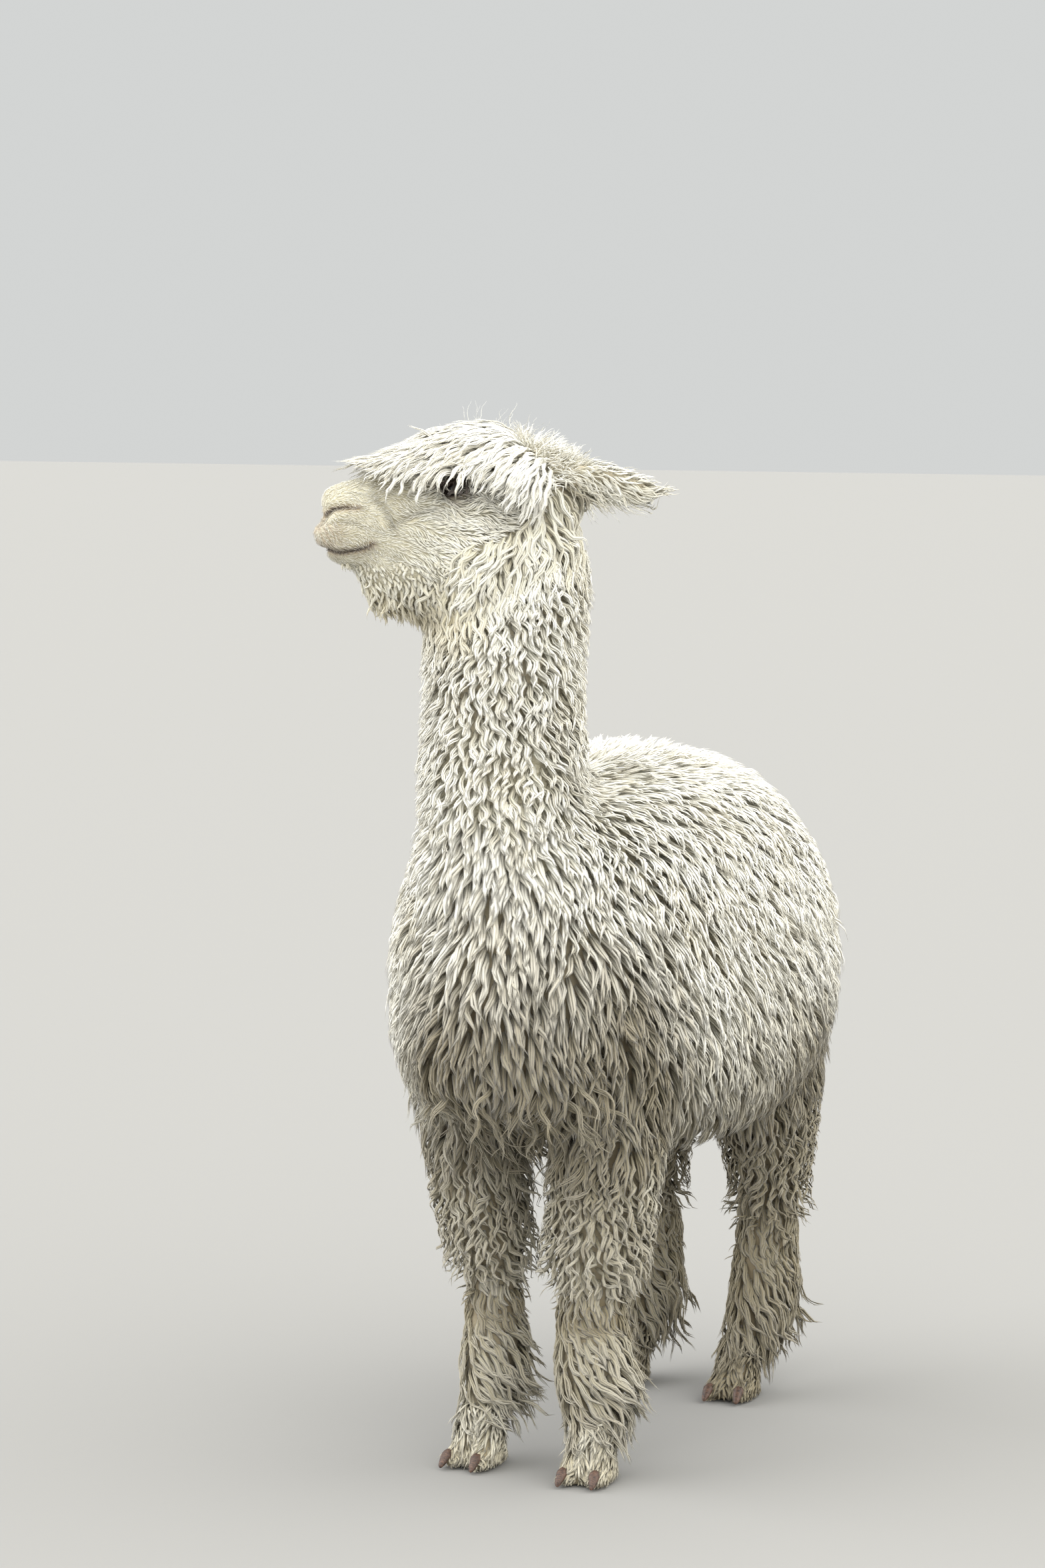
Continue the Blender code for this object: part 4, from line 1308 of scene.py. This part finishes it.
# %% Kinds of wool
ZONES = {
    "flank": dict(  # the roots of the back's wool are painted lighter, as painted light from above, and it is matted into broad locks
        where=(families == "trunk") & ~is_belly, lie=flank_lie, spacing=11.65, length=flank_length, strands=3,
        rings=4, width=changing(4.9, (1.8, 0.66, 0.86)), crimp=lambda roots: 2.2 + 0.8 * by_neck(roots),
        wave=lambda roots: 46 - 10 * by_neck(roots), seed=1, ragged=0.35, mixed=1.2, rise=0.42, pieces=4,
        unruly=changing(0.24, (-0.12, 0.66, 0.86)),
        lit_root=changing(0.10, (0.25, 0.52, 0.66), (0.60, 0.66, 0.86)),
    ),
    "belly": dict(
        where=is_belly, lie=flank_lie, spacing=20.0, length=60, strands=3, rings=4, width=5.6, crimp=1.6, wave=60,
        seed=11,
    ),
    "breast_fringe": dict(
        where=(families == "trunk") & (z < 0.555) & (y < -0.16) & (np.abs(x) < 0.12), lie=fringe_lie,
        spacing=20.0, length=84, strands=5, rings=10, width=2.7, crimp=7.0, wave=76, seed=14, cling=0.0,
        unruly=0.3, ragged=0.35, mixed=1.6, curl=0.7,
    ),
    "neck": dict(  # its roots are painted lighter, as painted light, on the side that is turned to the light, and it is more crimped on the other
        where=families == "neck", lie=neck_lie, spacing=9.6, length=44, strands=3, rings=7, width=4.3, wave=33,
        crimp=changing(2.6, (0.9, -0.06, 0.02), along=lambda roots: roots[:, 0]), seed=2, stand=0.6, mixed=1.4,
        unruly=0.2, curl=0.6, lit_root=changing(0.20, (0.25, 0.0, -0.06), along=lambda roots: roots[:, 0]),
        pieces=2,
    ),
    "cheeks": dict(
        where=is_cheek, lie=cheek_lie, spacing=8.6, length=72, strands=3, rings=10, width=3.7, crimp=3.9, wave=37,
        seed=3, mixed=0.8, unruly=0.18,
    ),
    "nape": dict(
        where=is_nape, lie=nape_lie, spacing=4.0, length=38, strands=2, rings=6, width=1.5, crimp=1.8, wave=24,
        seed=13, mixed=1.2, unruly=0.5, stand=1.0, cling=0.2, lit_root=0.6,
    ),
    "forelock": dict(
        where=is_crown, lie=forelock_lie, spacing=6.6, length=104, stop_at=above_brow, strands=4, rings=10,
        width=2.7, crimp=1.9, wave=30, seed=4, cling=0.25, mixed=0.6, unruly=0.14, gather=0.45, lit_root=0.7,
    ),
    "brow": dict(  # short wool under the forelock, which closes the gaps over the eye
        where=is_crown & (ahead > 45 * MM), lie=forelock_lie, spacing=7.0, length=52, stop_at=above_brow,
        strands=3, rings=6, width=2.8, crimp=1.6, wave=30, seed=17, puff=-13, cling=0.3, mixed=0.8, unruly=0.25,
        lit_root=0.6,
    ),
    "beard": dict(
        where=is_beard, lie=beard_lie, spacing=5.6, length=changing(10, (20, -100 * MM, -135 * MM), along=up_of),
        strands=3, rings=5, width=2.0, crimp=1.6, wave=20, seed=5, cling=0.2, unruly=0.25, stand=0.3,
    ),
    "ears": dict(
        where=families == "ear", lie=ear_lie, spacing=4.2, strands=2, rings=6, width=1.8, crimp=1.8, wave=30,
        length=changing(26, (20, 10 * MM, -15 * MM), along=up_of), seed=6, cling=0.3, unruly=0.22, mixed=0.9,
        lit_root=0.25,
    ),
    "upper_legs": dict(  # the wool stands off the leg just above the cuff, and curls more below the elbow
        where=np.isin(families, ["forearm", "thigh"]), lie=leg_lie, spacing=10.2, length=to_the_cuff, strands=2,
        rings=7, width=4.3, crimp=changing(1.8, (3.0, 0.52, 0.38)), wave=34, curl=0.8, seed=7, stand=0.6,
        puff=changing(0, (27, CUFF + 0.12, CUFF + 0.03)), mixed=1.3, unruly=0.22, pieces=2,
    ),
    "shins": dict(  # longest halfway down, and close to the leg where the cuff hangs over it
        where=np.isin(families, ["fore_cannon", "hind_cannon"]), lie=shin_lie, spacing=10.6, strands=3, rings=7,
        length=changing(34, (42, 0.22, 0.15), (-40, 0.10, 0.05)), width=changing(3.6, (1.2, 0.15, 0.21)),
        puff=changing(0, (-12, CUFF - 0.09, CUFF - 0.03)), crimp=4.2, wave=48, seed=8, unruly=0.16, mixed=0.9,
    ),
    "feet": dict(
        where=np.isin(families, ["fore_foot", "hind_foot"]) & (z > 5 * MM), lie=foot_lie, spacing=4.9,
        length=changing(10, (28, 0.008, 0.032)), strands=2, rings=3, width=2.5, crimp=1.0, wave=26, seed=9,
        stand=0.3, cling=0.4, unruly=0.2, slot="foot_hair",
    ),
    "tail": dict(
        where=families == "tail", lie=tail_lie, spacing=12.0, length=62, strands=3, rings=8, width=4.6, crimp=2.2,
        wave=34, seed=10,
    ),
    "face": dict(
        where=is_hair & ~is_muzzle, lie=face_lie, spacing=3.3, length=face_length, strands=1, rings=3,
        width=changing(1.3, (1.1, 0.15, 0.07), along=ahead_of), crimp=0.7, wave=24, seed=12, stand=0.08,
        cling=0.9, rise=1.0, unruly=0.2, lit_root=0.18, slot="face_hair",
    ),
    "muzzle": dict(
        where=is_muzzle, lie=face_lie, spacing=2.6, length=8, strands=1, rings=2, width=1.0, crimp=0.2, wave=24,
        seed=16, stand=0.05, cling=0.9, rise=1.0, unruly=0.3, lit_root=0.3, slot="face_hair",
    ),
    "stray_hairs": dict(
        where=is_head & (up > 45 * MM) & (ahead < 60 * MM), lie=stray_lie, spacing=15.0, length=58, strands=1,
        rings=10, width=0.5, crimp=2.0, wave=40, seed=15, stand=2.0, cling=0.0, unruly=0.5,
    ),
}

# %% [markdown]
# ## The finish of wool
#
# Wool is keratin: it scatters light, has almost no gloss, and is pale enough that light bounces on between the
# locks. A soft sheen at grazing angles stands for the fine fibres that stick out. Its colour runs from a darker
# root, partly dust and partly painted shade among the locks, to a clean tip, and one lock is a little darker than
# the next. Fibres too fine to model run along each strand. They are drawn a few tenths of a millimetre apart, by
# noise that is stretched along the strand's own map, and they give both a faint streak of colour and a bump.

# %% Wool
FIBRES_ACROSS, FIBRES_ALONG = 14.0, 1.6  # noise cells round and along one strand
# The darker root end is partly dust and partly painted shade; each lock's root value moves its colour towards the
# tip.
ROOT_TO_TIP = [(0.0, "BDB59B"), (0.18, "E6E2CE"), (0.5, "F5F3E6"), (1.0, "FFFEF7")]

wool_paint, shader = new_material("alpaca_wool", 0.85, Sheen_Weight=0.4, Sheen_Roughness=0.45)
strand_map = add_node(wool_paint, "UVMap", "UV", uv_map="strand")
along_strand = add_node(wool_paint, "SeparateXYZ", "Y", {"Vector": strand_map})
lit_root = add_node(wool_paint, "Attribute", "Fac", attribute_name="lit_root")
from_root = add_node(wool_paint, "Math", "Value", {0: along_strand, 1: lit_root}, operation="ADD")
scale = (FIBRES_ACROSS, FIBRES_ALONG, 1)
stretched = add_node(wool_paint, "Mapping", "Vector", {"Vector": strand_map, "Scale": scale})
tone = add_node(wool_paint, "Attribute", "Fac", attribute_name="tone")
fibre_noise = {"Vector": stretched, "W": tone, "Scale": 1.0, "Detail": 2.0}
fibres = add_node(wool_paint, "TexNoise", "Fac", fibre_noise, noise_dimensions="4D")
base = add_node(wool_paint, "ValToRGB", "Color", {"Fac": from_root}, ROOT_TO_TIP)
for value, darkest, clean_at in ((fibres, "D8D1BF", 0.6), (tone, "D6CDB7", 0.7)):
    stops = [(clean_at / 2, darkest), (clean_at, "FFFFFF")]
    shade = add_node(wool_paint, "ValToRGB", "Color", {"Fac": value}, stops)
    base = add_node(wool_paint, "Mix", MIXED, {SHARE: 0.30, FIRST: base, SECOND: shade}, **MULTIPLY)
link(wool_paint, paint_markings(wool_paint, base), shader.inputs["Base Color"])
bump = add_node(wool_paint, "Bump", "Normal", {"Height": fibres, "Distance": 0.35 * MM, "Strength": 0.5})
link(wool_paint, bump, shader.inputs["Normal"])

# %% Combing the coat
ABOVE_FLOOR = 2.5 * MM  # no strand's centre line is lower
LENGTH_SPREAD, TRIM_SPREAD = (0.82, 1.15), (0.9, 1.15)  # least and most, for each lock


def comb(name, zone):
    """Scatters, grows and meshes one part of the coat, and returns its triangle count."""
    rng = np.random.default_rng(zone["seed"])
    roots, outs, wool, on_map = scatter(zone["where"], zone["spacing"] * MM, zone["seed"])
    length = for_roots(zone["length"], roots) * MM * rng.uniform(*LENGTH_SPREAD, len(roots))
    wool = wool + for_roots(zone["puff"], roots) * MM
    paths, directions = grow(roots, outs, wool, length, zone, rng)
    if "stop_at" in zone:
        length *= zone["stop_at"](paths) * rng.uniform(*TRIM_SPREAD, len(roots))
        paths, directions = grow(roots, outs, wool, length, zone, rng)
    strands = strands_of(paths, directions, length, zone, rng)
    strands[0][..., 2] = np.maximum(strands[0][..., 2], ABOVE_FLOOR)
    marks = markings(roots)
    marks["tone"] = rng.uniform(0, 1, len(roots))
    marks["lit_root"] = for_roots(zone["lit_root"], roots)
    front_to_back = np.argsort(np.argsort(roots[:, 1]))
    share, total = front_to_back * zone["pieces"] // len(roots), 0
    for number in range(zone["pieces"]):
        mine = share[strands[-1]] == number
        label = f"coat_{name}" + (f"_{number + 1}" if zone["pieces"] > 1 else "")
        obj, triangles = strand_mesh(label, *[part[mine] for part in strands], on_map, marks)
        obj.data.materials.append(wool_paint)
        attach(obj, "root")
        total += triangles
        print(f"{label}: {triangles} triangles")
    return total


print("coat:", sum(comb(name, USUAL | zone) for name, zone in ZONES.items()), "triangles")

# %% [markdown]
# ## Eyes
#
# An alpaca's eye is a large dark ball that bulges a little. Only its iris is a shade lighter, round a pupil that
# lies level. The ball is a sphere, added at its place, and the clear front is raised by pushing its points out
# near the axis. How far a point lies from the axis is stored on it, and the paint is chosen by that. It is wet,
# so it is almost a mirror under a clear coat, and the eye gets its spark from the sky.

# %% Wet eye
PUPIL_BLACK, PUPIL_ENDS = 0.17, 0.24  # from the axis, as shares of the ball's radius
eye_paint, shader = new_material("wet_eye", 0.06, IOR=1.38, Coat_Weight=1.0, Coat_Roughness=0.02)
from_axis = add_node(eye_paint, "Attribute", "Fac", attribute_name="from_axis")
pupil = add_node(eye_paint, "Attribute", "Fac", attribute_name="pupil")
iris_stops = [(0.10, "36221A"), (0.55, "24150F"), (0.62, "0E0806"), (0.8, "160E0A")]
iris = add_node(eye_paint, "ValToRGB", "Color", {"Fac": from_axis}, iris_stops)
pupil_edge = {"Value": pupil, "From Min": PUPIL_ENDS, "From Max": PUPIL_BLACK}
black = add_node(eye_paint, "MapRange", "Result", pupil_edge)
base = add_node(eye_paint, "Mix", MIXED, {SHARE: black, FIRST: iris, SECOND: colour("060404")}, data_type="RGBA")
link(eye_paint, base, shader.inputs["Base Color"])

# %% Eyes
EYE_TURN_AHEAD = 0.30  # the eyes look sideways and a little ahead
CORNEA_BULGE, CORNEA_REACH = 0.9 * MM, 0.62
PUPIL_STRETCH = 0.55  # its height as a share of its length


def model_eye(side, sign):
    bpy.ops.object.select_all(action="DESELECT")
    centre = Vector(from_head([EYE_AHEAD, sign * eye_left_of_middle, 0]))
    bpy.ops.mesh.primitive_uv_sphere_add(segments=48, ring_count=32, radius=eye_radius)
    eye = bpy.context.object
    eye.name = eye.data.name = "eyeball_" + side
    gaze = unit(np.array(head_left) * sign + np.array(head_ahead) * EYE_TURN_AHEAD)
    level = unit(np.cross(np.array(Z), gaze))
    places = vertex_places(eye)
    toward = unit(places)
    behind = 2 * (toward @ gaze < 0)
    off_axis = np.linalg.norm(np.cross(toward, gaze), axis=1) + behind
    places += toward * (CORNEA_BULGE * fade(off_axis, CORNEA_REACH, 0))[:, None]
    set_places(eye, places + np.array(centre))
    keep_on_points(eye, "from_axis", off_axis)
    keep_on_points(eye, "pupil", np.hypot(toward @ level * PUPIL_STRETCH, toward @ np.array(Z)) + behind)
    eye.data.shade_smooth()
    eye.data.materials.append(eye_paint)
    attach(eye, "root")
    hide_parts("eye_" + side)


for side, sign in (("left", 1), ("right", -1)):
    model_eye(side, sign)
print("eyes made")

# %% [markdown]
# ## Lashes
#
# The lashes are dark, long and thick, and grow from the rim of the lids. Each is one strand that leaves the rim
# outwards and curves down. They reuse the tools that made the wool. Their hair is smoother than wool, so it
# shines a little, and it is nearly black at the root and browner at the tip.

# %% Lashes
LASH_ROWS = [(True, 75, 24, 101), (True, 60, 15, 105), (False, 30, 9, 111)]  # upper, lashes, mm long, seed
LASH_SPREAD = 0.74  # how far the rows reach towards the corners of the eye
LASH = USUAL | dict(strands=1, rings=6, wave=60, crimp=0.3, width=1.3, seed=120)


def lash_row(side, upper, count, length, seed):
    """Paths, the directions out along them and lengths for one row of lashes."""
    rng = np.random.default_rng(seed + side)
    along = np.linspace(-LASH_SPREAD, LASH_SPREAD, count) + rng.normal(0, 0.01, count)
    high, low = opening_edge(along)
    up = (high if upper else low) + (0.05 if upper else -0.03) * rng.uniform(0.3, 1.2, count)
    out = np.sqrt(np.clip(1 - along**2 - up**2, 0, 1))
    toward = np.stack([along, side * out, up], -1)
    roots = np.array([EYE_AHEAD, side * eye_left_of_middle, 0]) + toward * (eye_radius + LID_THICKNESS)
    reach = length * MM * rng.uniform(0.8, 1.15, count)
    shares = np.linspace(0, 1, STEPS + 1)[None, :, None]
    fan = np.stack([along * 0.6 + 0.55, np.full(count, side * 0.8), np.full(count, 0.35 if upper else -0.3)], -1)
    fan = unit(fan + rng.normal(0, 0.10, fan.shape))[:, None]
    drop = np.array([0.25, side * 0.1, -0.65 if upper else -0.2])
    paths = roots[:, None] + reach[:, None, None] * (fan * shares + drop * shares**2 * 0.8)
    directions = np.broadcast_to(np.array([0, side * 0.4, 1.0]), paths.shape)
    return from_head(paths), unit(directions @ HEAD_AXES), reach


def model_lashes():
    rows = [lash_row(side, *row) for row in LASH_ROWS for side in (-1, 1)]
    paths, directions, reach = (np.concatenate(kind) for kind in zip(*rows))
    strands = strands_of(paths, directions, reach, LASH, np.random.default_rng(LASH["seed"]))
    _, _, triangle = skin_below(paths[:, 0])
    on_map = skin_map[loops[triangle]].mean(axis=1)
    return strand_mesh("lashes", *strands, on_map, {"tone": np.linspace(0, 1, len(paths))})


lashes, triangles = model_lashes()
lash_paint, shader = new_material("dark_lash", 0.45)
strand_map = add_node(lash_paint, "UVMap", "UV", uv_map="strand")
along_strand = add_node(lash_paint, "SeparateXYZ", "Y", {"Vector": strand_map})
shades = add_node(lash_paint, "ValToRGB", "Color", {"Fac": along_strand}, [(0.0, "120D0B"), (1.0, "3A2C23")])
link(lash_paint, shades, shader.inputs["Base Color"])
lashes.data.materials.append(lash_paint)
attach(lashes, "root")
print("lashes:", triangles, "triangles")

# %% [markdown]
# ## Toenails
#
# Each toe ends in a hooked nail of horn. The solid already has its shape and place, with few faces, so a copy is
# rounded by subdivision. Horn grows in fine rings, and wear leaves it half matt, brown and stained: the rings
# show as a bump and as a faint change of shade, and noise lays the stains.

# %% Worn horn
RING_SPACING = 1.8 * MM
WAVES_PER_METRE = 0.314  # a Wave texture at scale 1 has a band every 0.314 m
STAINS = 260.0  # per metre, so each is about 4 mm across

horn, shader = new_material("worn_horn", 0.5)
spot = add_node(horn, "TexCoord", "Object")
ring_wave = {
    "Vector": spot, "Scale": WAVES_PER_METRE / RING_SPACING, "Distortion": 3.0, "Detail": 2.0, "Detail Scale": 1.0
}
rings = add_node(horn, "TexWave", "Fac", ring_wave, bands_direction="Y")
stains = add_node(horn, "TexNoise", "Fac", {"Vector": spot, "Scale": STAINS, "Detail": 3.0})
base = add_node(horn, "ValToRGB", "Color", {"Fac": stains}, [(0.3, "35261F"), (0.7, "6B5041")])
shade = add_node(horn, "ValToRGB", "Color", {"Fac": rings}, [(0.2, "755F52"), (0.8, "FFFFFF")])
base = add_node(horn, "Mix", MIXED, {SHARE: 0.4, FIRST: base, SECOND: shade}, **MULTIPLY)
link(horn, base, shader.inputs["Base Color"])
bump = add_node(horn, "Bump", "Normal", {"Height": rings, "Distance": 0.3 * MM, "Strength": 0.5})
link(horn, bump, shader.inputs["Normal"])

# %% Toenails
for node in [name for name in frame["nodes"] if name.startswith("toenail")]:
    nail = copy_of(node)
    nail.name = nail.data.name = node.replace("toenail", "nail")
    apply_modifier(nail, "SUBSURF", levels=2, render_levels=2)
    nail.data.shade_smooth()
    nail.data.materials.append(horn)
    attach(nail, "root")
    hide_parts(node)
    print(nail.name, len(nail.data.polygons), "faces")

# %% [markdown]
# ## Floor, light and camera
#
# The floor is one large plane of pale, matt paper, which takes soft shadows and mirrors nothing, under an even
# pale sky. The light is that of a bright overcast day: broad soft light from above whitens the back and the top
# of the head, a weaker one from the side lights the face, and the belly and legs stay in the shade of the body.

# %% Floor
bpy.ops.object.select_all(action="DESELECT")
bpy.ops.mesh.primitive_plane_add(size=80)
floor = bpy.context.object
floor.name = "floor"
paper, shader = new_material("matt_studio_paper", 0.9)
shader.inputs["Base Color"].default_value = colour("8F8E8C")
floor.data.materials.append(paper)


# %% Light
def soft_sun(name, toward, strength, softness, tint):
    """Even light that comes from one side of the sky. toward points from the animal to the light."""
    lamp = bpy.data.lights.new(name, "SUN")
    lamp.energy, lamp.angle, lamp.color = strength, math.radians(softness), colour(tint)[:3]
    obj = bpy.data.objects.new(name, lamp)
    obj.rotation_euler = Vector(toward).to_track_quat("Z", "Y").to_euler()
    bpy.context.scene.collection.objects.link(obj)


soft_sun("bright sky overhead", (0.50, -0.15, 1.0), 5.0, 115, "FFFEF9")
soft_sun("sky to the left", (-1.0, -0.45, 0.45), 2.8, 70, "FFFFFF")
world = bpy.data.worlds.new("pale sky")
world.use_nodes = True
world.node_tree.nodes["Background"].inputs["Color"].default_value = colour("EEF0EF")
world.node_tree.nodes["Background"].inputs["Strength"].default_value = 0.76
bpy.context.scene.world = world
bpy.context.scene.view_settings.view_transform = "Standard"

# %% Camera
AIM = Vector((-0.0133, -0.2650, 0))  # the place on the floor that the camera faces
CAMERA_TURN, CAMERA_PITCH = math.radians(25.5), math.radians(5.63)
CAMERA_DISTANCE, CAMERA_HEIGHT = 5.852, 1.48
LENS_MM = 105

away = Vector((math.sin(CAMERA_TURN), -math.cos(CAMERA_TURN), 0))
camera = bpy.data.objects.new("camera", bpy.data.cameras.new("camera"))
camera.data.lens = LENS_MM
camera.location = AIM + away * CAMERA_DISTANCE + Z * CAMERA_HEIGHT
camera.rotation_euler = (math.pi / 2 - CAMERA_PITCH, 0, CAMERA_TURN)
bpy.context.scene.collection.objects.link(camera)
bpy.context.scene.camera = camera
